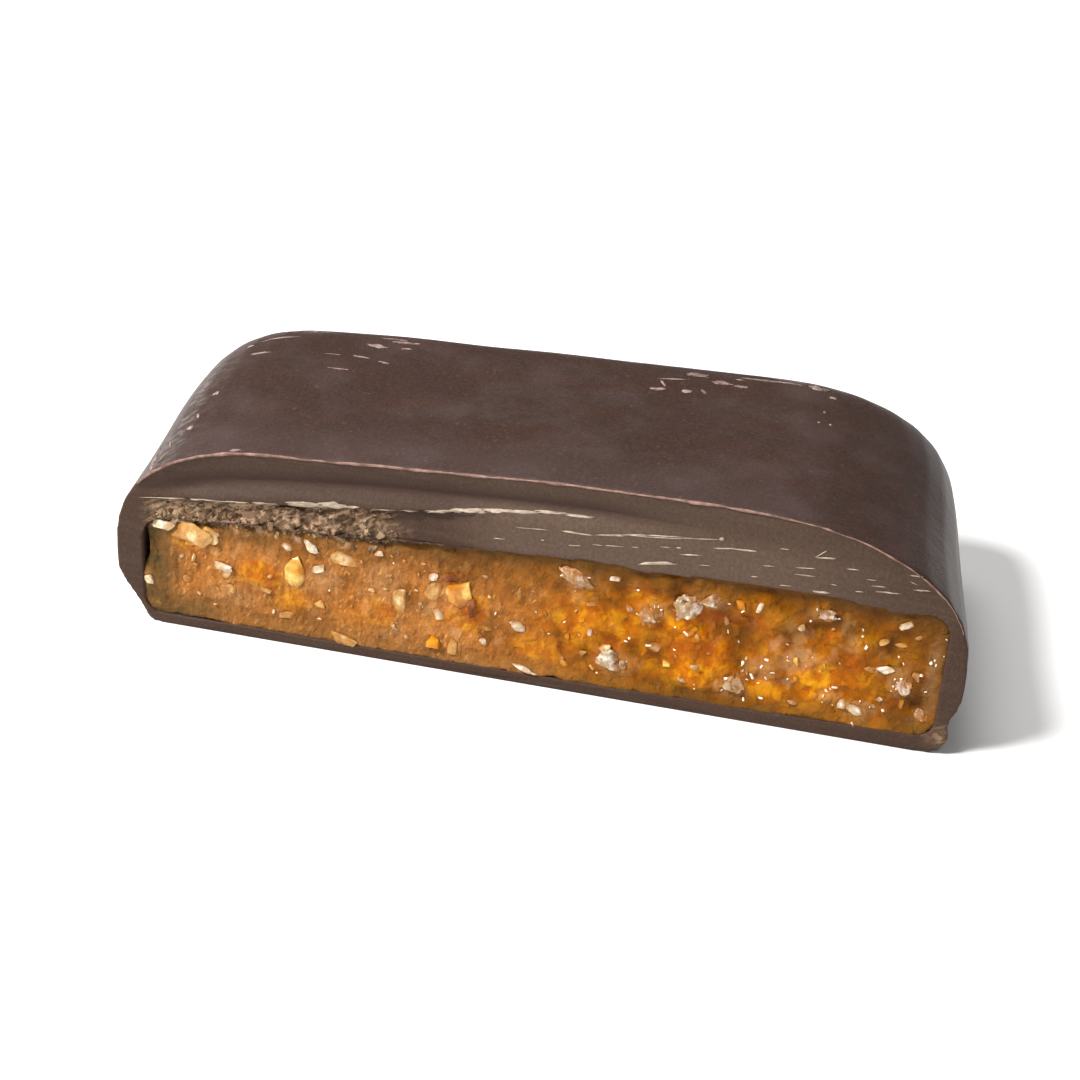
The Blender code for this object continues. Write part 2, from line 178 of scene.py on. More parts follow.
# Each kind of nut: its slanting cuts at the front and the sides, bevel and its segments, pits and
# crystal facets as shares of the nut, the size of one bit, how far it stands out past the toffee
# at most, the depth over which the toffee covers it, its material, patch size and shine.
NutKind = namedtuple("NutKind", "fronts sides bevel segments pits crystals bit flush clear "
                     "material patch shine")
NUT_KINDS = {
    "cream": NutKind(3, 8, 0.07, 2, 0.03, 0.0, 1.6, 0.1, 0.14, "roasted_nut_flesh", 1.0, 0.3),
    "golden": NutKind(5, 6, 0.02, 1, 0.0, 0.0, 1.7, 0.2, 0.14, "soaked_nut", 1.8, 0.6),
    "cloudy": NutKind(5, 12, 0.03, 1, 0.03, 0.1, 1.1, 0.34, 0.32, "sugared_nut", 0.5, 1.0),
    "white": NutKind(4, 6, 0.015, 1, 0.0, 0.05, 9.0, 0.14, 0.14, "fresh_nut_chip", 0.6, 0.3),
    "skin": NutKind(1, 6, 0.03, 1, 0.1, 0.0, 0.8, 0.08, 0.14, "nut_skin", 0.6, 0.1),
}

# The small chips between the named nuts: how many, and the kinds that each side draws from.
CHIPS = 80
CHIP_KINDS_LEFT = ("cream", "cream", "white")
CHIP_KINDS_RIGHT = ("cloudy", "white", "cream", "golden")
GOLDEN_ANGLE = 2.4
CHIP_SEED = 5
NUT_SEED = 100

# Places where the toffee glows deep orange over a nut: along, high, length, height, strength.
GLOWS = (
    (-16.4, 4.4, 1.5, 0.9, 0.8), (-14.6, 2.9, 1.1, 0.9, 0.6), (-3.5, 4.2, 0.8, 1.1, 0.8),
    (3.6, 4.6, 3.2, 1.8, 0.6), (9.3, 3.5, 1.9, 1.7, 1.0), (8.8, 5.5, 1.5, 1.0, 0.8),
    (8.7, 2.2, 1.4, 0.8, 0.8), (16.6, 3.5, 1.8, 1.1, 1.0), (13.6, 2.3, 1.4, 0.7, 0.6),
    (0.6, 2.2, 1.6, 0.9, 0.5), (-9.6, 3.0, 1.6, 1.0, 0.4), (-20.6, 5.6, 0.8, 0.4, 0.7),
    (-4.4, 3.5, 1.2, 0.6, 0.6), (2.6, 3.2, 1.3, 0.9, 0.6), (5.9, 6.4, 1.2, 0.8, 0.5),
)

# Places where it is seen into deepest, reddish between two glows, given in the same way.
EMBERS = (
    (9.3, 4.1, 1.8, 0.8, 0.8), (18.1, 4.9, 1.0, 0.6, 0.6), (-3.6, 4.1, 0.5, 0.9, 0.6),
    (12.4, 6.5, 1.3, 0.9, 0.4), (10.0, 6.3, 0.9, 0.5, 0.7), (-8.6, 3.4, 0.5, 0.7, 0.5),
)

# Places where a nut shows pale through the toffee, given in the same way.
MILKS = (
    (15.3, 4.3, 1.2, 1.0, 0.6), (13.2, 3.4, 1.1, 0.8, 0.35), (20.9, 4.1, 0.8, 1.1, 0.5),
    (9.7, 7.4, 1.4, 0.7, 0.4), (16.1, 7.7, 0.9, 0.5, 0.4), (11.5, 1.9, 0.9, 0.7, 0.5),
    (18.9, 1.9, 1.1, 0.6, 0.4), (22.5, 4.6, 0.4, 2.6, 0.7), (17.1, 2.6, 0.7, 0.5, 0.5),
    (-12.6, 4.7, 0.9, 0.9, 0.45), (-9.0, 5.2, 1.2, 1.4, 0.3), (-18.2, 2.6, 1.6, 0.8, 0.3),
    (2.5, 7.4, 1.3, 0.8, 0.4), (6.9, 6.1, 0.9, 0.6, 0.45), (4.9, 2.4, 1.2, 0.9, 0.3),
)

# Pale dashes where the blade dragged crumbs over the chocolate: along, high, length, width, turn.
DASHES = (
    (-21.8, 8.50, 2.6, 0.05, 7), (-19.5, 8.76, 1.8, 0.09, 6), (-17.6, 8.97, 1.9, 0.09, 6),
    (-16.1, 9.15, 1.3, 0.12, 5), (-13.5, 9.52, 1.9, 0.32, 5), (-11.9, 9.72, 1.6, 0.34, 8),
    (-10.9, 9.84, 1.0, 0.12, 8), (-8.9, 9.98, 1.6, 0.07, 7), (-7.3, 10.18, 1.7, 0.08, 7),
    (-5.6, 10.44, 1.8, 0.12, 8), (-3.9, 10.74, 1.7, 0.2, 6), (-2.5, 10.92, 1.5, 0.16, 6),
    (-1.0, 11.06, 1.8, 0.12, 6), (0.5, 11.24, 1.5, 0.1, 4), (2.1, 11.3, 1.9, 0.09, 2),
    (2.2, 10.44, 1.4, 0.08, 0), (4.2, 10.66, 1.6, 0.09, 8), (5.5, 10.88, 1.3, 0.08, 8),
    (7.2, 11.1, 2.1, 0.05, 6), (-0.3, 10.28, 1.7, 0.04, 5), (6.86, 9.36, 1.5, 0.17, 10),
    (7.14, 10.45, 0.5, 0.07, 6), (7.9, 10.54, 0.25, 0.07, 4), (4.3, 10.0, 0.8, 0.05, 6),
    (5.5, 10.14, 0.35, 0.05, 6), (2.1, 9.64, 0.6, 0.05, 8), (0.3, 9.65, 0.15, 0.09, 0),
    (6.8, 10.96, 2.4, 0.04, 6), (9.0, 11.26, 1.6, 0.04, 8), (10.35, 10.93, 0.95, 0.1, 8),
    (11.55, 11.04, 1.1, 0.11, 4), (8.55, 10.21, 0.95, 0.07, 6), (15.6, 11.55, 0.55, 0.07, 42),
    (16.0, 11.34, 0.85, 0.11, 6), (14.9, 10.54, 0.9, 0.05, 6), (14.9, 10.09, 0.8, 0.1, 3),
    (18.5, 10.44, 0.45, 0.08, 3), (18.9, 10.12, 0.6, 0.09, 5), (19.45, 9.83, 1.0, 0.1, 4),
    (20.75, 11.09, 0.6, 0.08, 0), (21.2, 10.28, 0.85, 0.1, 6), (15.85, 9.2, 0.8, 0.14, 3),
    (16.5, 9.78, 0.3, 0.06, 0), (20.7, 10.64, 0.35, 0.06, -20), (10.18, 11.47, 0.2, 0.22, 0),
    (12.9, 10.3, 0.5, 0.05, 4), (13.6, 11.5, 0.4, 0.05, 4), (9.4, 9.7, 0.6, 0.05, 5),
    (17.4, 10.9, 0.5, 0.06, 4), (3.4, 9.9, 0.5, 0.04, 4), (-2.2, 9.3, 0.5, 0.05, 4),
    (12.2, 9.5, 0.35, 0.06, 5), (17.9, 9.6, 0.4, 0.06, 5), (13.9, 9.25, 0.6, 0.08, 5),
)

# Pale scrapes on the top, in the row frame: x, y, length, width and turn.
SCRAPES = (
    (-20.4, 6.3, 0.4, 0.3, 35), (-19.35, 4.7, 1.2, 0.2, -6), (-18.6, 7.0, 1.9, 0.22, 8),
    (-18.0, 8.2, 1.2, 0.12, 6), (-16.6, 8.3, 0.4, 0.3, 0), (-14.6, 4.6, 0.8, 0.12, 0),
    (-13.9, 2.7, 1.0, 0.1, -2), (-12.9, 4.7, 0.9, 0.16, -8), (-12.2, 6.5, 1.1, 0.4, -10),
    (-11.3, 4.2, 0.7, 0.14, -12), (-10.6, 7.4, 1.3, 0.25, 0), (-11.4, 7.8, 1.6, 0.14, 0),
    (-10.4, 6.5, 0.6, 0.2, 0), (7.75, 7.4, 1.3, 0.5, 0), (9.3, 6.6, 1.1, 0.45, 0),
    (10.6, 6.4, 0.8, 0.35, 2), (10.4, 7.4, 0.5, 0.15, 0), (5.6, 4.7, 0.9, 0.35, 8),
    (6.4, 6.4, 1.5, 0.14, 10), (5.8, 5.6, 0.14, 0.8, 20), (7.3, 4.8, 0.6, 0.35, 0),
    (8.35, 5.0, 0.2, 0.5, 30), (11.8, 7.8, 2.0, 0.2, 0), (13.2, 7.9, 1.6, 0.16, 0),
    (15.2, 8.0, 1.1, 0.6, -10), (16.2, 6.9, 0.3, 0.35, 40), (15.7, 4.4, 0.16, 0.2, 0),
    (15.4, 2.7, 0.16, 0.2, 0), (16.1, 2.8, 0.14, 0.18, 0), (-21.3, -3.6, 0.3, 0.5, 30),
    (-21.2, -2.3, 0.14, 0.5, 20), (-20.8, 0.1, 0.35, 0.4, 0), (-22.9, -5.4, 0.2, 2.6, 6),
    (-22.6, -6.9, 0.16, 1.2, 12), (-22.2, -6.4, 0.12, 1.2, -14), (-21.7, -7.2, 0.3, 0.12, 20),
    (-22.2, -4.6, 0.1, 0.9, 18), (-17.3, -7.75, 0.6, 0.25, 6),
)
DASH_SEED, SCRAPE_SEED = 300, 500
DASH_LIFT, SCRAPE_LIFT = 0.008, 0.004

# What is scattered: faint milky spots, flakes in the recess, the first of them along the toffee's
# edge, and pale glossy bits that are painted glints of light.
MILK_SPOTS = 70
MILK_SEED = 8
FLAKES = 260
EDGE_FLAKES = 90
GLINTS = 95
SCATTER_SEED = 21

# Edges sharper than this stay sharp on the nuts and on what is scattered.
NUT_EDGE, BIT_EDGE = math.radians(24), math.radians(30)

# The burr's bead round the cut: its angles in degrees, the depth at which the coating's outline
# is looked for and the rays that do it, and how far apart the bead's points are.
BURR_FROM, BURR_TO = 170.0, 7.0
OUTLINE_DEPTH = 0.3
OUTLINE_RAYS = 1400
BURR_SPACING = 0.12

# Noise: how far a seed shifts its pattern, in cells on a mesh and in metres in a material.
SEED_STEP = 13.7
SEED_SHIFT = np.array((0.017, 0.029, 0.041))

# Soft lights, in metres and watts: name, place, width and power. Each looks at the origin.
LAMPS = (
    ("key", (-0.32, -0.18, 0.4), 0.14, 4.9),
    ("top", (-0.12, 0.12, 0.5), 0.3, 1.2),
    ("sparkle", (0.06, -0.36, 0.42), 0.03, 0.35),
)
SKY_COLOUR = (1.0, 1.0, 1.0, 1.0)
SKY_STRENGTH = 0.17

# The camera, fitted to the photograph: its place, angles and lens.
CAMERA_PLACE = (11.611, -103.748, 62.34)
CAMERA_AZIMUTH = math.radians(6.669)
CAMERA_ELEVATION = math.radians(29.039)
CAMERA_ROLL = math.radians(3.598)
CAMERA_LENS = 65.0
SENSOR_WIDTH = 36.0
NEAREST_SEEN = 0.005


def colour(code):
    """An sRGB hex colour as the linear colour that Blender works in."""
    shares = [int(code[i : i + 2], 16) / 255.0 for i in (1, 3, 5)]
    return [s / 12.92 if s <= 0.04045 else ((s + 0.055) / 1.055) ** 2.4 for s in shares] + [1.0]


def colour_property(name, code, description):
    """A colour that the sidebar shows, from its sRGB code."""
    return bpy.props.FloatVectorProperty(
        name=name, description=description, subtype="COLOR", size=4, min=0.0, max=1.0,
        default=colour(code),
    )


def length_property(name, millimetres, description):
    """A length that the sidebar shows, from its millimetres."""
    return bpy.props.FloatProperty(
        name=name, description=description, default=millimetres * MM, min=0.0, unit="LENGTH",
        precision=5,
    )


class ToffeeSizes(bpy.types.PropertyGroup):
    """Sizes that a user may change"""

    burr_radius: length_property("Burr radius", 0.082, "Half thickness of the raised line on the cut")
    crumb_depth: length_property("Crumb depth", 0.2, "Height of the crags where chocolate broke off")
    flake_size: length_property("Flake size", 0.34, "Largest chocolate flake in the recess")
    # Painted glints: the size of the pale bits that stand for glints of light on the toffee.
    glint_size: length_property("Glint size", 0.09, "Usual sugar crystal on the toffee")
    floor_width: length_property("Floor width", 3000.0, "Width of the pale floor")


class ToffeeColours(bpy.types.PropertyGroup):
    """Colours that a user may change"""

    skin: colour_property("Skin", "#36241c", "Dark chocolate where it set in the air")
    skin_dark: colour_property("Skin, dark", "#221610", "Skin between the clouds of bloom")
    skin_warm: colour_property("Skin, warm", "#3e2214", "Skin with hardly any bloom on it")
    bloom: colour_property("Bloom", "#5f5150", "Thin grey cloud of cocoa butter on the skin")
    # Also the colour of the painted sheen down the left shoulder.
    scuff: colour_property("Scuff", "#8f827b", "Scraped skin")
    knife_cut: colour_property("Knife cut", "#402d22", "Chocolate sliced by the knife")
    cut_grain: colour_property("Knife cut, grain", "#33231d", "Cocoa grains in the cut")
    cut_dust: colour_property("Knife cut, dust", "#9a8878", "Fine dust on the cut")
    polished: colour_property("Polished cut", "#5b493c", "Chocolate rubbed smooth by the blade")
    # Painted shade for the groove's upper side, with some of the darker colour of chocolate pressed
    # smooth there.
    hollow: colour_property("Groove", "#41302a", "Chocolate pressed smooth in the groove")
    burr: colour_property("Burr", "#664d42", "Raised line of chocolate along the cut")
    burr_pale: colour_property("Burr, pale", "#a38074", "Burr where it was scraped thin")
    crumble_dark: colour_property("Crumble, dark", "#56432f", "Broken chocolate, in the hollows")
    crumble_mid: colour_property("Crumble, middle", "#7e6048", "Broken chocolate, in patches")
    crumble_pale: colour_property("Crumble, pale", "#b8977a", "Broken chocolate, on the crags")
    flake: colour_property("Flake", "#573f2b", "Loose flake of chocolate")
    flake_pale: colour_property("Flake, pale", "#b49878", "Flake with a fresh broken side")
    dash: colour_property("Dash", "#857466", "Crumbs dragged thin over the chocolate")
    dash_pale: colour_property("Dash, pale", "#bfae98", "Crumbs dragged over the chocolate")
    scrape: colour_property("Scrape", "#5e4c44", "Chip of the rubbed skin")
    scrape_pale: colour_property("Scrape, pale", "#a88e86", "Chip of the rubbed skin, at its edge")
    toffee_tan: colour_property("Toffee, tan", "#ad6e33", "Toffee hazed by the knife")
    haze_dark: colour_property("Haze, dark", "#8e5622", "Hazed toffee, in swirls")
    haze_light: colour_property("Haze, light", "#ba7e40", "Hazed toffee, mottled")
    haze_stroke: colour_property("Haze, stroke", "#845020", "Hazed toffee in the knife's strokes")
    haze_deep: colour_property("Haze, deep", "#6e4018", "Hazed toffee seen into")
    haze_fleck: colour_property("Haze, fleck", "#d49c5c", "Nut ground fine into the hazed toffee")
    # Painted highlight for the hazed toffee's proud lumps.
    haze_lump_highlight: colour_property("Haze, crest", "#bc8650", "Hazed toffee that stands proud")
    toffee_amber: colour_property("Toffee, amber", "#884a04", "Clear toffee")
    toffee_honey: colour_property("Toffee, honey", "#965606", "Clear toffee where it is thin")
    toffee_glow: colour_property("Toffee, glowing", "#b86404", "Toffee with light behind it")
    # Painted highlight for the clear toffee's proud lumps.
    toffee_lump_highlight: colour_property("Toffee, crest", "#b87a1c", "Toffee on the lumps that stand proud")
    # Also the colour of the painted shade on the toffee, under the chocolate's top edge and in the
    # dips of its relief.
    toffee_deep: colour_property("Toffee, deep", "#5a3508", "Toffee seen into, with no light behind")
    toffee_milk: colour_property("Toffee, milky", "#b88c5c", "Toffee with a nut just under it")
    toffee_edge: colour_property("Toffee, edge", "#4f3f22", "Toffee thinning out at the chocolate")
    toffee_pool: colour_property("Toffee, yellow", "#dc9a10", "Thin toffee right over a pale nut")
    toffee_ember: colour_property("Toffee, ember", "#8e4408", "Toffee seen into between two nuts")
    # For each kind of nut, the last of its three colours is a painted highlight, laid in pale patches.
    nut_cream: colour_property("Nut, cream", "#c89c5c", "Cut flesh of a roasted nut")
    nut_cream_shade: colour_property("Nut, cream, soaked", "#a06c34", "Roasted nut with toffee in it")
    nut_cream_fresh: colour_property("Nut, cream, fresh", "#ecd6a4", "Roasted nut where just cut")
    nut_golden: colour_property("Nut, golden", "#d8900e", "Nut flesh soaked in toffee")
    nut_golden_shade: colour_property("Nut, golden, deep", "#b06404", "Soaked nut under toffee")
    nut_golden_fresh: colour_property("Nut, golden, fresh", "#f0cc70", "Soaked nut where just cut")
    nut_cloudy: colour_property("Nut, cloudy", "#b09a78", "Nut with sugar crystals on it")
    nut_cloudy_shade: colour_property("Nut, cloudy, deep", "#8a5c20", "Toffee between the crystals")
    nut_cloudy_fresh: colour_property("Nut, cloudy, white", "#ece6da", "Crystals on the nut")
    nut_white: colour_property("Nut, white", "#d2c2a6", "Fresh chip of nut")
    nut_white_shade: colour_property("Nut, white, soaked", "#b09060", "Chip with toffee on it")
    nut_white_fresh: colour_property("Nut, white, fresh", "#f0e8dc", "Chip where just broken")
    nut_skin: colour_property("Nut skin", "#743818", "Papery brown skin of a nut")
    nut_skin_shade: colour_property("Nut skin, dark", "#582408", "Nut skin in its creases")
    nut_skin_fresh: colour_property("Nut skin, pale", "#9c5c34", "Nut skin where it is rubbed")
    # Painted highlight: the near-white of the glints, and the tint mixed into them.
    crystal: colour_property("Sugar", "#efe6d2", "Sugar crystals that catch the light")
    glint_tint: colour_property("Sugar, shaded", "#d8b480", "Toffee seen through the sugar")
    floor: colour_property("Floor", "#f4f3f1", "Pale floor")
    floor_shade: colour_property("Floor, uneven", "#efeeec", "Pale floor where its paint is thin")


def sizes():
    """The sizes as the sidebar has them."""
    return bpy.context.scene.toffee_sizes


def tint(shade):
    """The sidebar's colour of that name; a colour that a pattern gives stays as it is."""
    return tuple(getattr(bpy.context.scene.toffee_colours, shade)) if isinstance(shade, str) else shade


# ---------------------------------------------------------------- places and noise


def to_cut(points):
    """Row-frame points in metres as along, deep and high on the cut, in millimetres."""
    return (np.asarray(points) / MM - CUT_CENTRE) @ CUT_AXES.T


def from_cut(places):
    """Places on the cut, in millimetres, as row-frame points in metres."""
    return (np.asarray(places) @ CUT_AXES + CUT_CENTRE) * MM


def rise(value, start, run):
    """0 up to the start, and from there smoothly to 1 over the run."""
    held = np.clip((value - start) / run, 0.0, 1.0)
    return held * held * (3.0 - 2.0 * held)


def fall(value, start, run):
    """1 up to the start, and from there smoothly to 0 over the run."""
    return 1.0 - rise(value, start, run)


def between(start, end, share):
    """The value that lies a share of the way from the start to the end."""
    return start + (end - start) * share


def bump(offset, reach):
    """1 at no offset, falling off to nothing over about twice the reach."""
    return np.exp(-((offset / reach) ** 2))


def lumps(places, size, seed, octaves=3):
    """Fractal unevenness of about -1 to 1; size is the largest lump's, one number or three."""
    scaled = places / np.asarray(size, float) + SEED_STEP * seed
    return np.array([noise.fractal(place, 1.0, 2.0, octaves) for place in scaled])


def flattened(places):
    """Places pressed flat on the cut, so that a pattern there is the same at every depth."""
    return places * (1.0, 0.0, 1.0)


def facets(places, size, seed):
    """Flat chips that slant each its own way, about -1 to 1, as broken sugar and chocolate do."""
    scaled = places / np.asarray(size, float) + SEED_STEP * seed
    nearest = np.array([noise.voronoi(place)[1][0] for place in scaled])
    slant = np.sin(nearest[:, [1, 2, 0]] * 91.3) + np.sin(nearest * 57.7)
    return np.einsum("ij,ij->i", scaled - nearest, slant) + 0.3 * np.sin(nearest.sum(1) * 43.1)


# ---------------------------------------------------------------- meshes


def object_mode():
    """Leaves edit mode, where a mesh is being edited."""
    if bpy.context.object and bpy.context.object.mode != "OBJECT":
        bpy.ops.object.mode_set(mode="OBJECT")


def pick(*pieces):
    """Selects these pieces and nothing else."""
    object_mode()
    bpy.ops.object.select_all(action="DESELECT")
    for piece in pieces:
        piece.select_set(True)
    bpy.context.view_layer.objects.active = pieces[0]


def edit_all(piece):
    """Goes into edit mode with the whole of one piece selected."""
    pick(piece)
    bpy.ops.object.mode_set(mode="EDIT")
    bpy.ops.mesh.select_all(action="SELECT")


def read_all(items, name):
    """One vector of each vertex or face, as rows of three."""
    flat = np.empty(len(items) * 3)
    items.foreach_get(name, flat)
    return flat.reshape(-1, 3)


def read_points(piece):
    """The places of a piece's vertices."""
    return read_all(piece.data.vertices, "co")


def read_normals(piece):
    """The directions that a piece's vertices face."""
    return read_all(piece.data.vertices, "normal")


def write_points(piece, points):
    """Moves a piece's vertices."""
    piece.data.vertices.foreach_set("co", np.asarray(points).ravel())
    piece.data.update()


def mark(piece, name, values):
    """Stores one number at each vertex, for the material to read."""
    layer = piece.data.attributes.new(name, "FLOAT", "POINT")
    layer.data.foreach_set("value", np.asarray(values, np.float32))


def apply_modifier(piece, kind, **settings):
    """Adds a modifier with its settings and applies it."""
    pick(piece)
    step = piece.modifiers.new(kind.lower(), kind)
    for name, value in settings.items():
        setattr(step, name, value)
    bpy.ops.object.modifier_apply(modifier=step.name)


def select_faces(piece, test):
    """Selects, in edit mode, the faces whose centres and normals pass the test."""
    pick(piece)
    chosen = test(read_all(piece.data.polygons, "center"), read_all(piece.data.polygons, "normal"))
    bpy.ops.object.mode_set(mode="EDIT")
    bpy.ops.mesh.select_mode(type="FACE")
    bpy.ops.mesh.select_all(action="DESELECT")
    bpy.ops.object.mode_set(mode="OBJECT")
    piece.data.polygons.foreach_set("select", chosen)
    bpy.ops.object.mode_set(mode="EDIT")


def select_on_cut(piece, test):
    """Selects faces by a test that reads their centres and normals on the cut's axes."""
    select_faces(piece, lambda centres, normals: test(to_cut(centres), normals @ CUT_AXES.T))


def welded_copy(node, name):
    """A copy of a CAD node whose loose triangles are merged into one skin."""
    piece = bpy.data.objects.new(name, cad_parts[node].data.copy())
    bpy.context.scene.collection.objects.link(piece)
    piece.data.name = name
    piece.data.materials.clear()
    edit_all(piece)
    bpy.ops.mesh.remove_doubles(threshold=0.001 * MM)
    bpy.ops.mesh.normals_make_consistent(inside=False)
    bpy.ops.object.mode_set(mode="OBJECT")
    return piece


def square_up(piece):
    """Turns a piece's points on to the cut's axes, so that sliced faces remesh clean."""
    write_points(piece, to_cut(read_points(piece)) * MM)


def turn_back(piece):
    """Turns a squared-up piece's points back to where they lie in the row frame."""
    write_points(piece, from_cut(read_points(piece) / MM))


def carry_front_on(piece):
    """Extrudes the squared-up piece's cut face on towards the knife's waste side."""
    def front(centres, normals):
        return (normals[:, 1] < -0.15) & (centres[:, 1] < FACE_DEPTH * MM)

    select_faces(piece, front)
    bpy.ops.mesh.extrude_region_move(
        TRANSFORM_OT_translate={"value": (0.0, -FRONT_RUN * MM, 0.0)}
    )
    bpy.ops.object.mode_set(mode="OBJECT")


def slice_off(piece, deep):
    """Cuts a squared-up piece clean across at a depth behind the knife's plane."""
    edit_all(piece)
    bpy.ops.mesh.bisect(plane_co=(0.0, deep * MM, 0.0), plane_no=(0.0, 1.0, 0.0),
                        use_fill=True, clear_inner=True, threshold=0.001 * MM)
    bpy.ops.object.mode_set(mode="OBJECT")


def finish_piece(piece, material):
    """Keeps a piece inside the solids' box, gives it its finish and hangs it on the body."""
    write_points(piece, np.clip(read_points(piece), CAD_BOX[0], CAD_BOX[1]))
    pick(piece)
    bpy.ops.object.shade_smooth()
    piece.data.materials.clear()
    piece.data.materials.append(material)
    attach(piece, "root")


def tree_of(name):
    """A finished piece's surface, for rays to strike."""
    return BVHTree.FromObject(bpy.data.objects[name], bpy.context.evaluated_depsgraph_get())


def strike(skin, along, high):
    """What a ray from in front of the cut strikes: the place, its normal, face and distance."""
    return skin.ray_cast(Vector(from_cut((along, RAY_START, high))), Vector(DEEP))


# ---------------------------------------------------------------- materials


def add(tree, kind, inputs=None, output=0, **settings):
    """Adds a node with its settings and its links, and gives back one of its outputs."""
    node = tree.nodes.new("ShaderNode" + kind)
    for name, value in settings.items():
        setattr(node, name, value)
    for name, value in (inputs or {}).items():
        if isinstance(value, bpy.types.NodeSocket):
            tree.links.new(value, node.inputs[name])
        else:
            node.inputs[name].default_value = value
    return node.outputs[output] if node.outputs else None


def new_material(name):
    """An empty material and its node tree."""
    material = bpy.data.materials.new(name)
    material.use_nodes = True
    tree = material.node_tree
    tree.nodes.clear()
    return material, tree


def surface(tree, inputs):
    """Ends a material in one surface shader with these values and links."""
    add(tree, "OutputMaterial", {"Surface": add(tree, "BsdfPrincipled", inputs)})


def pattern(tree, size, low=0.35, high=0.65, detail=4.0, lean=0.0, seed=0.0):
    """Cloudy noise from 0 to 1; size is its grain in mm, one number or along, deep and high."""
    lengths = np.broadcast_to(np.asarray(size, float), 3) * MM
    place = add(tree, "Mapping", {
        "Vector": add(tree, "TexCoord", output="Object"),
        "Location": tuple(seed * SEED_SHIFT),
        "Rotation": (0.0, math.radians(lean), CUT_TURN),
        "Scale": tuple(lengths),
    }, vector_type="TEXTURE")
    cloud = add(tree, "TexNoise", {"Vector": place, "Scale": 1.0, "Detail": detail})
    return add(tree, "MapRange", {
        "Value": cloud, "From Min": low, "From Max": high,
    }, interpolation_type="SMOOTHSTEP")


def painted(tree, ground, *coats):
    """Colours laid over a ground in turn, each as strong as it says where its mask shows it."""
    mixed = tint(ground)
    for mask, strength, shade in coats:
        share = add(tree, "Math", {0: mask, 1: strength}, operation="MULTIPLY")
        mixed = add(tree, "Mix", {0: share, 6: mixed, 7: tint(shade)}, 2, data_type="RGBA")
    return mixed


def textured(tree, *reliefs):
    """A normal from relief patterns laid over each other, each with its depth in millimetres."""
    inputs = {}
    for height, depth in reliefs:
        inputs.update({"Height": height, "Distance": depth * MM})
        inputs["Normal"] = add(tree, "Bump", inputs)
    return inputs["Normal"]


def dark_chocolate():
    """Tempered dark chocolate: a satin skin with a thin bloom, and a matt face where cut."""
    material, tree = new_material("dark_chocolate")
    marks = {name: add(tree, "Attribute", output="Fac", attribute_name=name)
             for name in ("cut", "crumble", "hollow", "polish", "scuff", "dusted")}
    cloud = pattern(tree, 4.0, 0.42, 0.75, detail=5.0)
    blotch = pattern(tree, 1.2, 0.42, 0.7, detail=4.0, seed=8.3)
    speck = pattern(tree, 0.28, 0.66, 0.74, detail=2.0, seed=0.4)
    grain = pattern(tree, 0.2, 0.3, 0.75, detail=3.0, seed=0.9)
    scrape = pattern(tree, (3.0, 0.5, 0.5), 0.5, 0.58, detail=6.0, seed=0.2)
    warm = pattern(tree, (8.0, 2.5, 2.5), 0.48, 0.68, detail=4.0, seed=3.3)
    skin = painted(
        tree, "skin", (cloud, 0.22, "bloom"), (blotch, 0.2, "skin_dark"),
        (warm, 0.3, "skin_warm"), (grain, 0.16, "bloom"), (marks["dusted"], 0.16, "bloom"),
        # The scuff mark is scrapes on the back edge and painted sheen on the left shoulder.
        (speck, 0.12, "scuff"), (marks["scuff"], scrape, "scuff"),
    )
    drag = pattern(tree, (5.0, 0.5, 0.4), 0.35, 0.7, detail=5.0, seed=0.7)
    dust = pattern(tree, 0.12, 0.5, 0.75, detail=2.0, seed=6.6)
    sliced = painted(
        tree, "knife_cut", (marks["polish"], 1.0, "polished"), (drag, 0.2, "polished"),
        # The hollow mark lays painted shade over the groove's upper side.
        (grain, 0.35, "cut_grain"), (dust, 0.07, "cut_dust"), (marks["hollow"], 0.7, "hollow"),
    )
    strands = pattern(tree, (1.5, 0.7, 0.25), 0.48, 0.62, detail=6.0, lean=CRUMB_LEAN, seed=1.3)
    crumbs = pattern(tree, 0.5, 0.52, 0.62, detail=5.0, seed=2.9)
    patches = pattern(tree, 1.8, 0.4, 0.6, detail=3.0, seed=4.1)
    broken = painted(
        tree, "crumble_dark", (patches, 0.55, "crumble_mid"), (strands, 0.6, "crumble_pale"),
        (crumbs, 0.5, "crumble_pale"),
    )
    face = painted(tree, sliced, (marks["crumble"], 1.0, broken))
    base = painted(tree, skin, (marks["cut"], 1.0, face))
    wavy = pattern(tree, 1.6, 0.2, 0.8, seed=2.1)
    matt = add(tree, "MapRange", {"Value": marks["cut"], "To Min": 0.42, "To Max": 0.6})
    surface(tree, {
        "Base Color": base, "Roughness": matt,
        "Normal": textured(tree, (grain, 0.009), (wavy, 0.02)),
        "IOR": 1.46, "Specular IOR Level": 0.18, "Subsurface Weight": 0.06,
        "Subsurface Radius": (1.0, 0.5, 0.3), "Subsurface Scale": 0.4 * MM,
    })
    return material


def crumbly_chocolate(name, shade, pale, roughness=0.55):
    """Loose chocolate, scraped or broken: matt, paler on its edges, each bit of its own tone."""
    material, tree = new_material(name)
    tone = add(tree, "Attribute", output="Fac", attribute_name="tone")
    grain = pattern(tree, 0.3, 0.35, 0.68, detail=5.0)
    surface(tree, {
        "Base Color": painted(tree, shade, (tone, 1.0, pale), (grain, 0.4, shade)),
        "Roughness": roughness, "IOR": 1.46, "Specular IOR Level": 0.15,
        "Normal": textured(tree, (grain, 0.02)),
    })
    return material


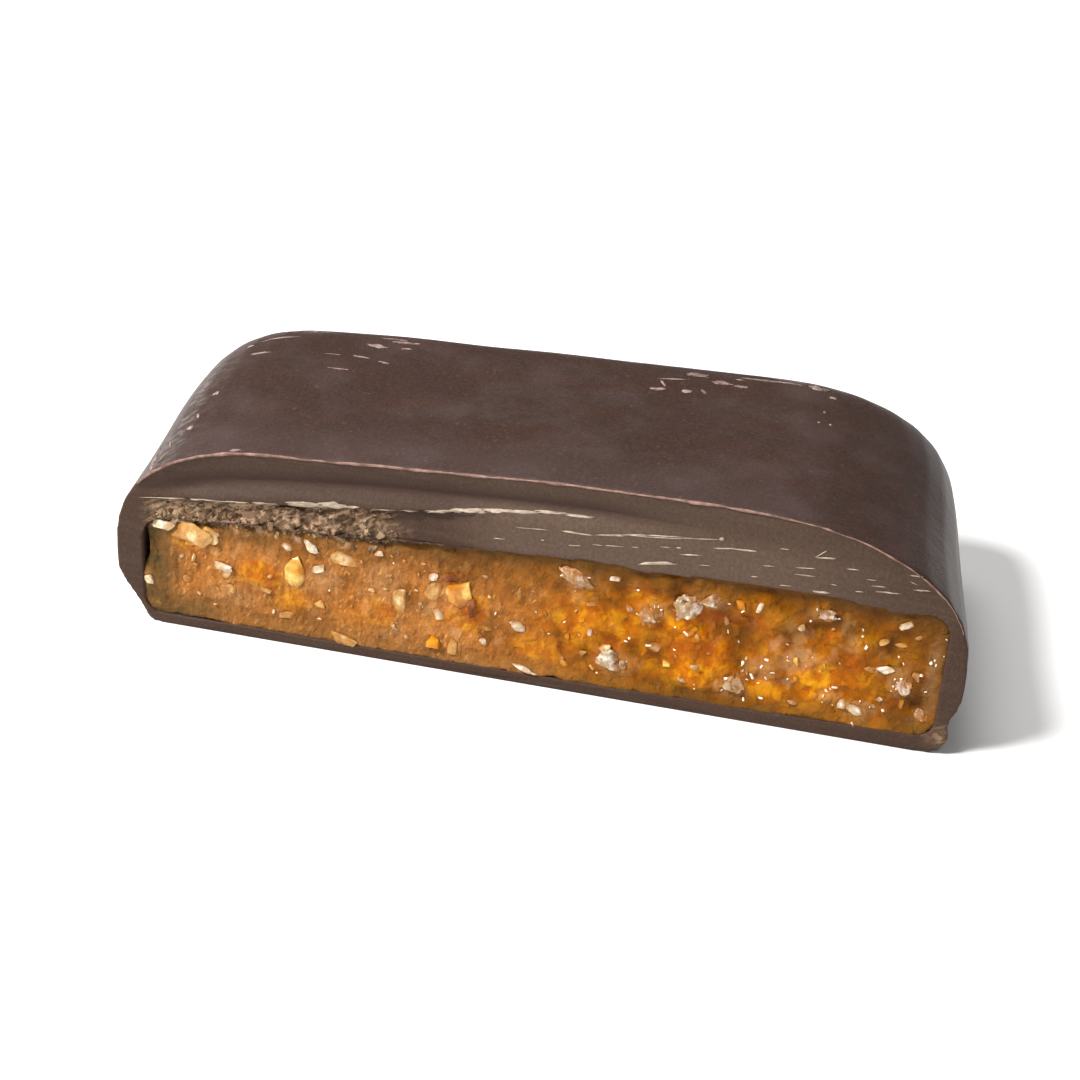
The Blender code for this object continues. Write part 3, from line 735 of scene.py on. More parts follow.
def nut_toffee():
    """Boiled-sugar toffee: amber and see-into, hazed at the left where the knife dragged."""
    material, tree = new_material("nut_toffee")
    marks = {name: add(tree, "Attribute", output="Fac", attribute_name=name)
             for name in ("haze", "glow", "crest", "milk", "shade", "ember", "edge", "dusty")}
    crumbs = pattern(tree, 0.35, 0.42, 0.62, detail=4.0, seed=2.9)
    swirl = pattern(tree, 3.0, 0.4, 0.62, detail=3.0)
    mottle = pattern(tree, 0.9, 0.42, 0.62, detail=3.0, seed=0.5)
    depths = pattern(tree, 1.7, 0.52, 0.66, detail=3.0, seed=2.3)
    pools = pattern(tree, 1.2, 0.54, 0.66, detail=2.0, seed=5.2)
    embers = pattern(tree, 1.0, 0.54, 0.68, detail=2.0, seed=7.7)
    strokes = pattern(tree, (0.22, 1.0, 1.7), 0.46, 0.68, detail=3.0, lean=18.0, seed=3.1)
    flecks = pattern(tree, (0.16, 1.0, 0.5), 0.6, 0.68, detail=2.0, lean=24.0, seed=4.7)
    grain = pattern(tree, 0.16, 0.3, 0.72, detail=2.0, seed=1.7)
    clear = painted(
        tree, "toffee_amber", (swirl, 0.8, "toffee_honey"), (mottle, 0.35, "toffee_glow"),
        (pools, 0.2, "toffee_pool"), (embers, 0.6, "toffee_ember"), (depths, 0.8, "toffee_deep"),
        # The crest mark paints a highlight on the proud lumps.
        (marks["crest"], 0.4, "toffee_lump_highlight"),
    )
    hazy = painted(
        tree, "toffee_tan", (swirl, 0.6, "haze_dark"), (mottle, 0.35, "haze_light"),
        (strokes, 0.55, "haze_stroke"), (depths, 0.55, "haze_deep"), (flecks, 0.6, "haze_fleck"),
        # The crest mark paints a highlight on the proud lumps.
        (marks["crest"], 0.35, "haze_lump_highlight"),
    )
    lit = painted(
        tree, "toffee_glow", (mottle, 0.8, "toffee_pool"), (embers, 0.8, "toffee_ember"),
    )
    base = painted(
        tree, clear, (marks["haze"], 1.0, hazy), (grain, 0.2, "toffee_deep"),
        (marks["milk"], 1.0, "toffee_milk"), (marks["shade"], 1.0, "toffee_deep"),
        (marks["glow"], 0.9, lit), (marks["ember"], 1.0, "toffee_ember"),
        (marks["edge"], 1.0, "toffee_edge"), (marks["dusty"], crumbs, "crumble_pale"),
    )
    matt = add(tree, "MapRange", {"Value": marks["haze"], "To Min": 0.25, "To Max": 0.5})
    surface(tree, {
        "Base Color": base, "Roughness": matt,
        "Normal": textured(tree, (grain, 0.015), (mottle, 0.06)),
        "IOR": 1.5, "Specular IOR Level": 0.03, "Subsurface Weight": 0.25,
        "Subsurface Radius": (1.0, 0.42, 0.1), "Subsurface Scale": 0.4 * MM,
        "Coat Weight": 0.07, "Coat Roughness": 0.08,
    })
    return material


def nut_flesh(name):
    """Roasted nut in toffee: waxy flesh with painted highlights in pale patches, toffee-brown where
    buried.
    """
    kind = NUT_KINDS[name]
    material, tree = new_material(kind.material)
    tone = add(tree, "Attribute", output="Fac", attribute_name="tone")
    buried = add(tree, "Attribute", output="Fac", attribute_name="buried")
    grain = pattern(tree, 0.35, 0.38, 0.68, detail=4.0)
    # Painted highlights: pale patches laid at random over the nut, as light catching its cut faces.
    painted_highlight = pattern(tree, kind.patch, 0.48, 0.62, detail=3.0, seed=7.0)
    soaked = pattern(tree, kind.patch, 0.5, 0.64, detail=3.0, seed=9.0)
    flesh = f"nut_{name}"
    shade = flesh + "_shade"
    base = painted(
        tree, flesh, (tone, 0.5, shade), (painted_highlight, 0.85, flesh + "_fresh"), (soaked, 0.7, shade),
        (grain, 0.25, shade), (buried, 1.0, "toffee_honey"),
    )
    surface(tree, {
        "Base Color": base, "Roughness": 0.45 - 0.25 * kind.shine, "IOR": 1.47,
        "Normal": textured(tree, (grain, 0.03)), "Subsurface Weight": 0.25,
        "Subsurface Radius": (1.0, 0.7, 0.35), "Subsurface Scale": 0.4 * MM,
        "Specular IOR Level": 0.12, "Coat Weight": 0.6 * kind.shine, "Coat Roughness": 0.1,
    })
    return material


def sugar_crystal():
    """Painted glints on the toffee: near-white, clear and sharp, so they show as small bright points.
    """
    material, tree = new_material("sugar_crystal")
    frost = pattern(tree, 0.1, 0.35, 0.7, detail=2.0)
    surface(tree, {
        "Base Color": painted(tree, "crystal", (frost, 0.5, "glint_tint")),
        "Roughness": 0.12, "IOR": 1.54, "Coat Weight": 0.5, "Coat Roughness": 0.05,
    })
    return material


def pale_floor():
    """A matt painted board, with the faint unevenness of its paint."""
    material, tree = new_material("pale_floor")
    paint = pattern(tree, 30.0, 0.3, 0.7)
    base = painted(tree, "floor", (paint, 0.3, "floor_shade"))
    surface(tree, {"Base Color": base, "Roughness": 0.8, "Specular IOR Level": 0.2})
    return material


# ---------------------------------------------------------------- the chocolate coating


def groove_line(along):
    """Height of the groove's deepest line, which follows the top edge down to the left."""
    return 10.1 + 2.0 * (1.0 - np.exp(-(along + 18.0) / 12.0))


def ledge_line(along):
    """Height of the smooth band's lower edge, under which the chocolate broke away."""
    return 8.45 + 0.119 * (along + 22.0)


def at_recess(along):
    """1 at the left, where the chocolate broke, fading out where it is whole."""
    return fall(along, RECESS_END, 6.0)


def broken_zone(along, high):
    """1 where the chocolate under the smooth band broke away, at the left."""
    below = ledge_line(along) - high
    zone = rise(below, 0.0, 0.2) * at_recess(along)
    return zone * rise(along, RECESS_START, 1.5) * rise(high, 6.0, 0.6)


def leaning(places, degrees):
    """Places on the cut turned in its plane, so that a long grain lies aslant."""
    turn = np.radians(degrees)
    along, deep, high = places.T
    return np.stack((along * np.cos(turn) + high * np.sin(turn), deep,
                     high * np.cos(turn) - along * np.sin(turn)), 1)


def top_edge(piece):
    """Stations along the cut and the height of the chocolate's top edge at each."""
    places = to_cut(read_points(piece))
    near = places[places[:, 1] < 0.35]
    stations = np.arange(-24.0, 24.01, 0.5)
    tops = [near[np.abs(near[:, 0] - s) < 0.35][:, 2].max() for s in stations]
    return stations, np.array(tops)


def groove(along, high, stations, tops):
    """The groove's depth, 0 to 1: curving up to the top edge, with a soft lower side."""
    above = high - groove_line(along)
    room = np.maximum(np.interp(along, stations, tops) - groove_line(along), 0.25)
    upper_side = np.clip(1.0 - above / room, 0.0, 1.0) ** 1.5
    depth = np.where(above > 0.0, upper_side, fall(-above, 0.0, 1.2))
    depth *= fall(along, GROOVE_END, 10.0)
    return depth * rise(along, GROOVE_START, 4.5)


def crags(flat):
    """Broken chocolate, about -1 to 1: large and small chips and strands, low at the far left."""
    swayed = leaning(flat, CRUMB_LEAN + 40.0 * lumps(flat, 3.0, 69, 2))
    rough = 1.1 * facets(flat, (1.5, 1.0, 0.8), 3) + 0.35 * facets(flat, 0.4, 5)
    rough += 0.7 * lumps(flat, 1.6, 3) + 0.5 * lumps(swayed, (1.6, 1.0, 0.22), 63, 2)
    return rough * between(0.55, 1.0, rise(flat[:, 0], -20.0, 3.0))


def dress_cut_face(piece):
    """Presses in the groove, breaks out the recess and leaves the knife's drag lines."""
    stations, tops = top_edge(piece)
    places = to_cut(read_points(piece))
    facing = -(read_normals(piece) @ DEEP)
    along, deep, high = places.T.copy()
    plane = deep.min()
    behind = deep - plane
    face = rise(facing, 0.25, 0.4) * fall(behind, 0.15, 0.2)
    flat = flattened(places)
    hollow = groove(along, high, stations, tops)
    opened = broken_zone(along, high + 0.12 * lumps(flat, 0.6, 61)) * face
    crumbly = opened * fall(along - CRUMBS_END + 1.5 * lumps(flat, 2.0, 67, 2), 0.0, 3.5)
    step = between(LEDGE_DEPTH, LEDGE_DEPTH_AT_TOFFEE, rise(ledge_line(along) - high, 0.0, 1.6))
    crumb = sizes().crumb_depth / MM
    broken = opened * step + crumbly * crumb * crags(flat)
    drag = lumps(flat, (7.0, 1.0, 0.22), 7, 2)
    wave = lumps(flat, 6.0, 9, 2)
    sliced = (1.0 - crumbly) * (0.016 * drag + 0.07 * (wave + 0.6))
    relief = np.maximum(GROOVE_DEPTH * hollow + broken + sliced, 0.0)
    places[:, 1] += face * relief + PROUD_STOP - plane
    dragged = rise(along, DRAG_START, 4.0) * fall(along, DRAG_END, 1.5)
    dragged *= rise(high, 8.0, 0.5) * fall(high, 9.1, 1.2)
    dragged *= fall(behind, 0.4, 0.8)
    places[:, 2] -= EDGE_DRAG * dragged * (1.0 + 0.3 * wave)
    write_points(piece, from_cut(places))
    mark_cut_face(piece, (along, behind, high), face, hollow, crumbly)


def mark_cut_face(piece, places, face, hollow, crumbly):
    """Tells the material where the chocolate is cut, dusted, broken and polished, and where shade is
    painted in the groove.
    """
    along, behind, high = places
    mark(piece, "cut", face)
    dusted = rise(read_normals(piece) @ HIGH, 0.5, 0.4)
    dusted *= fall(behind, 1.0, 5.0) * fall(along, 12.0, 6.0)
    mark(piece, "dusted", dusted)
    foot = 0.7 * face * bump(np.hypot(along - 23.6, high - 1.2), 0.7)
    mark(piece, "crumble", np.maximum(crumbly, foot))
    # Painted shade: the groove's upper side, which faces down and away from the light, is painted
    # darker.
    above = high - groove_line(along)
    shaded = 0.45 * rise(above, -0.5, 0.4) + 0.75 * bump(above - 0.25, 0.4)
    mark(piece, "hollow", face * hollow * shaded)
    band = rise(high, ledge_line(along), 0.5) * fall(along, -2.0, 3.0)
    rubbed = rise(along, -6.0, 5.0) * rise(high, 8.0, 1.0)
    rubbed *= (1.0 - 0.8 * rise(along, 12.0, 10.0)) * (1.0 - 0.6 * rise(high, 10.6, 1.6))
    mark(piece, "polish", face * np.clip(0.12 * band + rubbed, 0.0, 1.0))


def scuffs_and_shoulder_sheen(piece):
    """1 on the stretches of the top's back edge that were scraped, and a weaker painted sheen down the
    left shoulder.
    """
    x, _, z = (read_points(piece) / MM).T
    facing_x, facing_y, _ = read_normals(piece).T
    back_edge = bump(facing_y - 0.34, 0.13) * rise(z, 9.0, 2.0)
    stretch = bump(x + 17.0, 3.0) + bump(x - 3.5, 6.0) + bump(x - 12.0, 4.0)
    # Painted sheen: where the left shoulder faces left it gets a pale band, as a reflection would give
    # it.
    shoulder = bump(facing_x + 0.62, 0.14) * rise(z, 7.0, 2.0)
    return np.clip(back_edge * np.clip(stretch, 0.0, 1.0) + 0.3 * shoulder, 0.0, 1.0)


class TOFFEE_OT_coating(bpy.types.Operator):
    """Chocolate coating: the dipped skin, its cut face and the crumbled recess"""

    bl_idname = "toffee.coating"
    bl_label = "Chocolate coating"

    def execute(self, context):
        piece = welded_copy(COATING_NODE, "coating")
        square_up(piece)
        carry_front_on(piece)
        apply_modifier(piece, "REMESH", mode="VOXEL", voxel_size=VOXEL * MM)
        apply_modifier(piece, "SMOOTH", factor=0.5, iterations=SKIN_SMOOTHING)
        slice_off(piece, 0.0)
        apply_modifier(piece, "REMESH", mode="VOXEL", voxel_size=VOXEL * MM)
        apply_modifier(piece, "SMOOTH", factor=0.5, iterations=SLICE_SMOOTHING)
        turn_back(piece)
        low, high = (to_cut([corner])[0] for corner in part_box(TOFFEE_NODE))

        def hidden(centres, _):
            sides = (centres[:, 0] > low[0] - 0.8) & (centres[:, 0] < high[0] + 0.8)
            ends = (centres[:, 1] > 2.0) & (centres[:, 1] < high[1] + 0.8)
            floor = (centres[:, 2] > low[2] - 0.5) & (centres[:, 2] < high[2] + 0.5)
            return (sides & ends & floor) | (centres[:, 2] < 0.06)

        def skin(centres, normals):
            return (centres[:, 1] > 0.6) & ~hidden(centres, normals)

        def cut(centres, normals):
            return (normals[:, 1] < -0.5) & (centres[:, 1] < 0.3)

        select_on_cut(piece, hidden)
        bpy.ops.mesh.decimate(ratio=HIDDEN_KEPT)
        select_on_cut(piece, skin)
        bpy.ops.mesh.decimate(ratio=SKIN_KEPT)
        select_on_cut(piece, cut)
        bpy.ops.mesh.subdivide(number_cuts=1, smoothness=0.0)
        object_mode()
        dress_cut_face(piece)
        mark(piece, "scuff", scuffs_and_shoulder_sheen(piece))
        finish_piece(piece, dark_chocolate())
        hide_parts(COATING_NODE)
        return {"FINISHED"}


# ---------------------------------------------------------------- the toffee


def toffee_relief(places):
    """How deep the toffee's cut face lies: dragged upright at the left, lumpy at the right."""
    along, high = places[:, 0], places[:, 2]
    flat = flattened(places)
    drag = lumps(flat, (0.35, 1.0, 2.4), 11, 3)
    fine = lumps(flat, 0.4, 17, 3)
    left = 0.3 + 0.045 * drag + 0.12 * lumps(flat, 2.4, 19, 3) + 0.018 * fine
    left += 0.02 * facets(leaning(flat, 30.0), (0.9, 1.0, 0.4), 12)
    right = 0.42 + 0.36 * lumps(flat, 2.2, 13, 2) + 0.02 * fine
    right += 0.04 * facets(flat, 0.9, 14)
    depth = between(left, right, rise(along, LUMPY_START, LUMPY_RUN))
    for centre, height, length, width, turn, kind, _ in NUTS:
        if kind == "skin":
            continue
        angle = math.radians(turn)
        across, up = along - centre, high - height
        first = (across * math.cos(angle) - up * math.sin(angle)) / (0.5 * length + 0.1)
        second = (across * math.sin(angle) + up * math.cos(angle)) / (0.5 * width + 0.1)
        depth = depth - 0.06 * bump(np.hypot(first, second) - 1.0, 0.3)
    return np.clip(depth, 0.06, 0.95)


def toffee_edges(piece):
    """Lowest and highest point of the toffee's cut face, as functions of the place along."""
    places = to_cut(read_points(piece))
    near = places[places[:, 1] < TRIM_DEPTH + 0.1]
    stations = np.arange(-23.0, 23.01, 0.5)
    lows = [near[np.abs(near[:, 0] - s) < 0.3][:, 2].min() for s in stations]
    highs = [near[np.abs(near[:, 0] - s) < 0.3][:, 2].max() for s in stations]
    return stations, np.array(lows), np.array(highs)


def crack_free(places):
    """How far the toffee reaches into the chocolate: short of it where a dark crack shows."""
    along, _, high = places.T
    left = rise(-along, 22.0, 0.4) * bump(high - 4.9, 1.5)
    base = rise(-high, -1.6, 0.4) * np.clip(bump(along + 19.8, 2.6) + bump(along - 0.8, 3.0), 0, 1)
    ragged = 0.85 + 0.4 * lumps(flattened(places), 0.7, 33)
    return np.clip(ragged, 0.6, 1.2) * (1.0 - left) * (1.0 - 0.5 * base)


def grow_sideways(piece):
    """Spreads the toffee out against the chocolate all round, as far as it reaches."""
    places = to_cut(read_points(piece))
    outward = flattened(read_normals(piece) @ CUT_AXES.T)
    length = np.linalg.norm(outward, axis=1)
    share = TOFFEE_GROWTH * crack_free(places) * rise(length, 0.0, 0.5) / np.maximum(length, 0.01)
    write_points(piece, from_cut(places + outward * share[:, None]))


def patches(places, rows, size, seed):
    """Soft-edged ragged patches: rows of along, high, reach along, reach up and strength."""
    along, high = places[:, 0], places[:, 2]
    ragged = 1.0 + 0.5 * lumps(flattened(places), size, seed)
    shown = np.zeros(len(places))
    for centre, height, reach, tall, strength in rows:
        off = np.hypot((along - centre) / reach, (high - height) / tall) * ragged
        shown = np.maximum(shown, strength * fall(off, 0.4, 1.0))
    return shown


def milk_spots(places):
    """Faint pale spots where a nut lies just under the toffee: the named ones and a seeded draw."""
    draw = random.Random(MILK_SEED)
    along, high = places[:, 0], places[:, 2]
    ragged = 1.0 + 0.7 * lumps(flattened(places), 0.5, 37)
    pale = patches(places, MILKS, 0.5, 39)
    for _ in range(MILK_SPOTS):
        centre, height = draw.uniform(-22.0, 22.0), draw.uniform(1.6, 7.8)
        width = draw.uniform(0.1, 0.4)
        tall = width * draw.uniform(0.8, 2.0)
        lean = draw.uniform(-0.4, 0.4)
        off = np.hypot((along - centre - lean * (high - height)) / width, (high - height) / tall)
        strength = draw.uniform(0.15, 0.5)
        pale = np.maximum(pale, strength * fall(off * ragged, 0.5, 1.0))
    return pale


def dress_toffee_face(piece, stations, lows, highs):
    """Brings the trimmed front out to its relief, held back at the rim by the chocolate."""
    places = to_cut(read_points(piece))
    along, deep, high = places.T.copy()
    flat = flattened(places)
    from_base = high - np.interp(along, stations, lows)
    from_top = np.interp(along, stations, highs) - high
    from_ends = np.minimum(along - TOFFEE_ENDS[0], TOFFEE_ENDS[1] - along)
    rim = np.minimum(np.minimum(from_base, from_top), from_ends)
    at_top = rise(from_base - from_top, -1.0, 2.0)
    ragged = fall(along, -13.0, 3.0)
    under_recess = between(0.27, between(0.56, 0.42, ragged), at_recess(along))
    rim_depth = between(0.18, under_recess, at_top)
    rim_depth += between(0.07, 0.2, at_top * ragged) * lumps(flat, 1.1, 35)
    relief = between(rim_depth, toffee_relief(places), rise(rim, 0.4, 0.6))
    places[:, 1] -= (TRIM_DEPTH - relief) * fall(deep, TRIM_DEPTH, 1.4)
    write_points(piece, from_cut(places))
    mark_toffee_face(piece, places, relief, (from_base, from_top, rim))


def mark_toffee_face(piece, places, relief, distances):
    """Tells the material where the toffee is thin, shaded, lit, milky, dusty and hazed, and where
    proud lumps get a painted highlight.
    """
    along, _, high = places.T
    from_base, from_top, rim = distances
    uneven = lumps(flattened(places), 1.2, 23)
    thin = between(0.8, 0.35, rise(along, -21.5, 4.0)) + 0.3 * uneven
    width = between(1.9, 1.1, rise(along, -9.0, 6.0))
    mark(piece, "edge", np.clip(thin, 0, 1) * fall(rim - 0.6 + 0.5 * uneven, 0.0, width))
    usual = between(0.3, 0.42, rise(along, LUMPY_START, LUMPY_RUN))
    # Painted highlight: lumps that stand proud of the usual depth are painted lighter.
    mark(piece, "crest", rise(usual - relief, 0.02, 0.22))
    middle = rise(along, -9.0, 5.0)
    under_top = fall(from_top + 0.9 * uneven, 0.5, between(2.0, 3.2, middle))
    under_top *= between(0.6, 0.82, middle)
    at_right = 0.5 * rise(along - 18.0 + 1.2 * uneven, 0.0, 3.5)
    hollow = 0.6 * bump(np.hypot((along + 14.2) / 2.0, high - 2.2 + 0.3 * (along + 14.2)), 1.0)
    at_base = 0.75 * bump(along - 10.5, 5.0) * fall(from_base + 0.5 * uneven, 0.3, 1.6)
    brown = np.maximum(hollow, at_base)
    dips = 0.7 * rise(relief - usual, 0.02, 0.3)
    glow = patches(places, GLOWS, 1.0, 31)
    lit = (1.0 - under_top) * (1.0 - at_right) * (1.0 - brown) * (1.0 - dips)
    mark(piece, "shade", (1.0 - lit) * (1.0 - 0.75 * glow))
    mark(piece, "milk", milk_spots(places))
    mark(piece, "ember", patches(places, EMBERS, 0.7, 43))
    under_recess = fall(from_top + 0.8 * uneven, 0.2, 0.8)
    mark(piece, "dusty", 0.8 * fall(along, CRUMBS_END, 3.0) * under_recess)
    mark(piece, "haze", fall(along + 3.0 * lumps(places, 4.0, 29), HAZE_START, HAZE_RUN))
    mark(piece, "glow", glow)


class TOFFEE_OT_filling(bpy.types.Operator):
    """Toffee filling: the slab with its dragged and lumpy cut face"""

    bl_idname = "toffee.filling"
    bl_label = "Toffee filling"

    def execute(self, context):
        piece = welded_copy(TOFFEE_NODE, "toffee")
        square_up(piece)
        slice_off(piece, TRIM_DEPTH)
        apply_modifier(piece, "REMESH", mode="VOXEL", voxel_size=VOXEL * MM)
        turn_back(piece)
        grow_sideways(piece)
        edges = toffee_edges(piece)
        select_on_cut(piece, lambda centres, normals: centres[:, 1] > 2.5)
        bpy.ops.mesh.decimate(ratio=SLAB_KEPT)

        def front(centres, normals):
            return (normals[:, 1] < -0.5) & (centres[:, 1] < TRIM_DEPTH + 0.1)

        select_on_cut(piece, front)
        bpy.ops.mesh.subdivide(number_cuts=1, smoothness=0.0)
        object_mode()
        dress_toffee_face(piece, *edges)
        finish_piece(piece, nut_toffee())
        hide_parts(TOFFEE_NODE)
        return {"FINISHED"}


# ---------------------------------------------------------------- the nuts


def chopped_block(draw, fronts, sides, bevel, segments):
    """A block of size 1 chipped by slanting cuts, most of them on its front, edges broken."""
    bpy.ops.mesh.primitive_cube_add(size=1.0, location=(0.0, 0.0, 0.0))
    piece = bpy.context.object
    bpy.ops.object.mode_set(mode="EDIT")
    cuts = []
    for _ in range(fronts):
        away = Vector((draw.uniform(-0.8, 0.8), -1.0, draw.uniform(-0.8, 0.8))).normalized()
        cuts.append((away, draw.uniform(0.3, 0.42)))
    for _ in range(sides):
        angle = draw.uniform(0.0, 2.0 * math.pi)
        away = Vector((math.cos(angle), draw.uniform(-0.3, 0.3), math.sin(angle))).normalized()
        cuts.append((away, draw.uniform(0.4, 0.52)))
    for away, reach in cuts:
        bpy.ops.mesh.select_all(action="SELECT")
        bpy.ops.mesh.bisect(plane_co=away * reach, plane_no=away, use_fill=True, clear_outer=True)
    bpy.ops.mesh.select_all(action="SELECT")
    bpy.ops.mesh.remove_doubles(threshold=0.04)
    bpy.ops.mesh.bevel(offset=bevel, segments=segments, affect="EDGES")
    bpy.ops.mesh.select_all(action="SELECT")
    bpy.ops.mesh.quads_convert_to_tris()
    bpy.ops.mesh.normals_make_consistent(inside=False)
    bpy.ops.object.mode_set(mode="OBJECT")
    return piece


def roughen(piece, size, height, seed):
    """Pits a small piece's surface; size and height are shares of the piece."""
    points = read_points(piece)
    write_points(piece, points + height * read_normals(piece) * lumps(points, size, seed)[:, None])


def shards(index, along, high, length, width, turn, kind, proud, skin):
    """One chopped nut: its body and the crumbs that broke off round it, set into the toffee."""
    draw = random.Random(NUT_SEED + index)
    crumbs = round(length * width / NUT_KINDS[kind].bit ** 2) - 1
    angle = math.radians(turn)
    body = 0.85 if crumbs > 0 else 1.0
    made = [shard(draw, (along, high), body * length, body * width, turn, kind, proud, skin)]
    for step in range(crumbs):
        away = step * GOLDEN_ANGLE + draw.uniform(-0.4, 0.4)
        out = draw.uniform(0.28, 0.48)
        first, second = length * out * math.cos(away), width * out * math.sin(away)
        place = (along + first * math.cos(angle) + second * math.sin(angle),
                 high - first * math.sin(angle) + second * math.cos(angle))
        size = draw.uniform(0.25, 0.45) * math.sqrt(length * width)
        shape = draw.uniform(0.6, 1.0)
        made.append(shard(draw, place, size, size * shape, draw.uniform(-90, 90), kind,
                          proud * draw.uniform(0.4, 1.1), skin))
    return made


def shard(draw, place, length, width, turn, name, proud, skin):
    """One angular bit of nut, most of it buried and its front sliced nearly flush."""
    kind = NUT_KINDS[name]
    piece = chopped_block(draw, kind.fronts, kind.sides, kind.bevel, kind.segments)
    if max(length, width) > 0.7:
        edit_all(piece)
        bpy.ops.mesh.subdivide(number_cuts=3 if kind.crystals else 1, smoothness=0.0)
        bpy.ops.object.mode_set(mode="OBJECT")
        roughen(piece, 0.3, kind.pits, draw.random())
        points = read_points(piece)
        relief = kind.crystals * facets(points, 0.26, draw.randrange(90))
        write_points(piece, points + relief[:, None] * read_normals(piece))
        if kind.crystals:
            apply_modifier(piece, "SMOOTH", factor=0.5, iterations=1)
    thickness = max(0.7 * min(length, width), 2.0 * proud)
    nod = Matrix.Rotation(draw.uniform(-0.4, 0.4), 4, "X")
    tilt = nod @ Matrix.Rotation(draw.uniform(-0.4, 0.4), 4, "Z")
    piece.data.transform(tilt @ Matrix.Diagonal((1.12 * length, thickness, 1.12 * width, 1.0)))
    piece.data.transform(Matrix.Rotation(math.radians(turn), 4, "Y"))
    hit = strike(skin, *place)[0]
    deep = to_cut(hit)[1] if hit else 0.3
    places = read_points(piece) + (place[0], deep + 0.38 * thickness - proud, place[1])
    sliced = deep - kind.flush + 0.1 * lumps(places, 0.5, 71, 2)
    places[:, 1] = np.maximum(places[:, 1], sliced + 0.25 * (places[:, 1] - sliced))
    write_points(piece, from_cut(places))
    mark(piece, "tone", np.full(len(places), draw.random() ** 1.5))
    return piece


def note_buried(piece, skin, clear):
    """1 where a nut's surface lies at or under the toffee's, 0 where it stands clear of it."""
    ahead = RUN_UP * MM
    values = []
    for point in read_points(piece):
        start = Vector(point) - Vector(DEEP) * ahead
        hit = skin.ray_cast(start, Vector(DEEP))[0]
        gap = (hit - start).dot(Vector(DEEP)) - ahead if hit else 0.0
        values.append(1.0 - min(1.0, max(0.0, gap / (clear * MM))))
    mark(piece, "buried", values)


def chip_places():
    """The small chips between the named nuts, by a seeded draw: paler and finer at the left."""
    draw = random.Random(CHIP_SEED)
    chips = []
    while len(chips) < CHIPS:
        along, high = draw.uniform(-22.0, 22.0), draw.uniform(1.6, 7.4)
        if any(math.hypot(along - n[0], high - n[1]) < 0.8 for n in NUTS):
            continue
        kinds = CHIP_KINDS_LEFT if along < -2.0 else CHIP_KINDS_RIGHT
        length = 0.22 + 0.5 * draw.random() ** 2
        width = length * draw.uniform(0.4, 0.8)
        chips.append((along, high, length, width, draw.uniform(-90, 90), draw.choice(kinds),
                      draw.uniform(0.04, 0.12)))
    return chips


def join_as(name, pieces, material):
    """Joins like pieces into one and finishes it."""
    pick(*pieces)
    bpy.ops.object.join()
    joined = bpy.context.object
    joined.name = name
    joined.data.name = name
    finish_piece(joined, material)
    return joined


class TOFFEE_OT_nuts(bpy.types.Operator):
    """Chopped nuts that the knife laid bare, one piece for each kind"""

    bl_idname = "toffee.nuts"
    bl_label = "Chopped nuts"

    def execute(self, context):
        skin = tree_of("toffee")
        finishes = {kind: nut_flesh(kind) for kind in NUT_KINDS}
        made = {kind: [] for kind in NUT_KINDS}
        for index, row in enumerate(NUTS + tuple(chip_places())):
            made[row[5]] += shards(index, *row, skin)
        for kind, pieces in made.items():
            joined = join_as(f"nuts_{kind}", pieces, finishes[kind])
            note_buried(joined, skin, NUT_KINDS[kind].clear)
            bpy.ops.object.shade_smooth_by_angle(angle=NUT_EDGE)
        return {"FINISHED"}


# ---------------------------------------------------------------- what the knife left behind


def cut_outline(skin):
    """Places round the coating's section where the burr runs, evenly spaced."""
    middle = np.array((0.0, OUTLINE_DEPTH, MIDDLE_HEIGHT))
    found = []
    for angle in np.radians(np.linspace(BURR_FROM, BURR_TO, OUTLINE_RAYS)):
        away = np.array((math.cos(angle), 0.0, math.sin(angle)))
        outside = Vector(from_cut(middle + 40.0 * away))
        hit = skin.ray_cast(outside, Vector(-away @ CUT_AXES))[0]
        if hit:
            found.append(to_cut(hit))
    found = np.array(found)
    run = np.concatenate(([0.0], np.cumsum(np.linalg.norm(np.diff(found, axis=0), axis=1))))
    steps = np.arange(0.0, run[-1], BURR_SPACING)
    return np.stack([np.interp(steps, run, found[:, axis]) for axis in range(3)], 1)


def cord_along(name, places, radius, thickness):
    """A round bead along a path, thicker and thinner by a share at each point, as a mesh."""
    curve = bpy.data.curves.new(name, "CURVE")
    curve.dimensions = "3D"
    curve.bevel_depth = radius
    curve.bevel_resolution = 1
    curve.use_fill_caps = True
    spline = curve.splines.new("POLY")
    spline.points.add(len(places) - 1)
    for point, place, share in zip(spline.points, from_cut(places), thickness):
        point.co = (*place, 1.0)
        point.radius = share
    piece = bpy.data.objects.new(name, curve)
    bpy.context.scene.collection.objects.link(piece)
    pick(piece)
    bpy.ops.object.convert(target="MESH")
    return bpy.context.object


class TOFFEE_OT_burr(bpy.types.Operator):
    """Burr: the thin raised line of chocolate that the blade pushed up along the cut"""

    bl_idname = "toffee.burr"
    bl_label = "Burr"

    def execute(self, context):
        radius = sizes().burr_radius
        places = cut_outline(tree_of("coating"))
        wander = lumps(places, 0.8, 41, 3)
        inward = MIDDLE_HEIGHT * HIGH - flattened(places)
        inward /= np.linalg.norm(inward, axis=1)[:, None]
        places += inward * (0.9 * radius / MM + 0.03 * wander[:, None])
        places[:, 1] = 0.06 + 0.05 * lumps(places, 1.3, 43, 2)
        thickness = np.clip(0.85 + 0.7 * lumps(places, 1.6, 47, 3), 0.3, 1.6)
        thickness *= between(1.0, 0.6, rise(places[:, 0], 8.0, 8.0))
        piece = cord_along("burr", places, radius, thickness)
        mark(piece, "tone", 0.5 + 0.8 * lumps(read_points(piece) / MM, 0.7, 53, 3))
        finish = crumbly_chocolate("scraped_chocolate", "burr", "burr_pale")
        finish_piece(piece, finish)
        return {"FINISHED"}


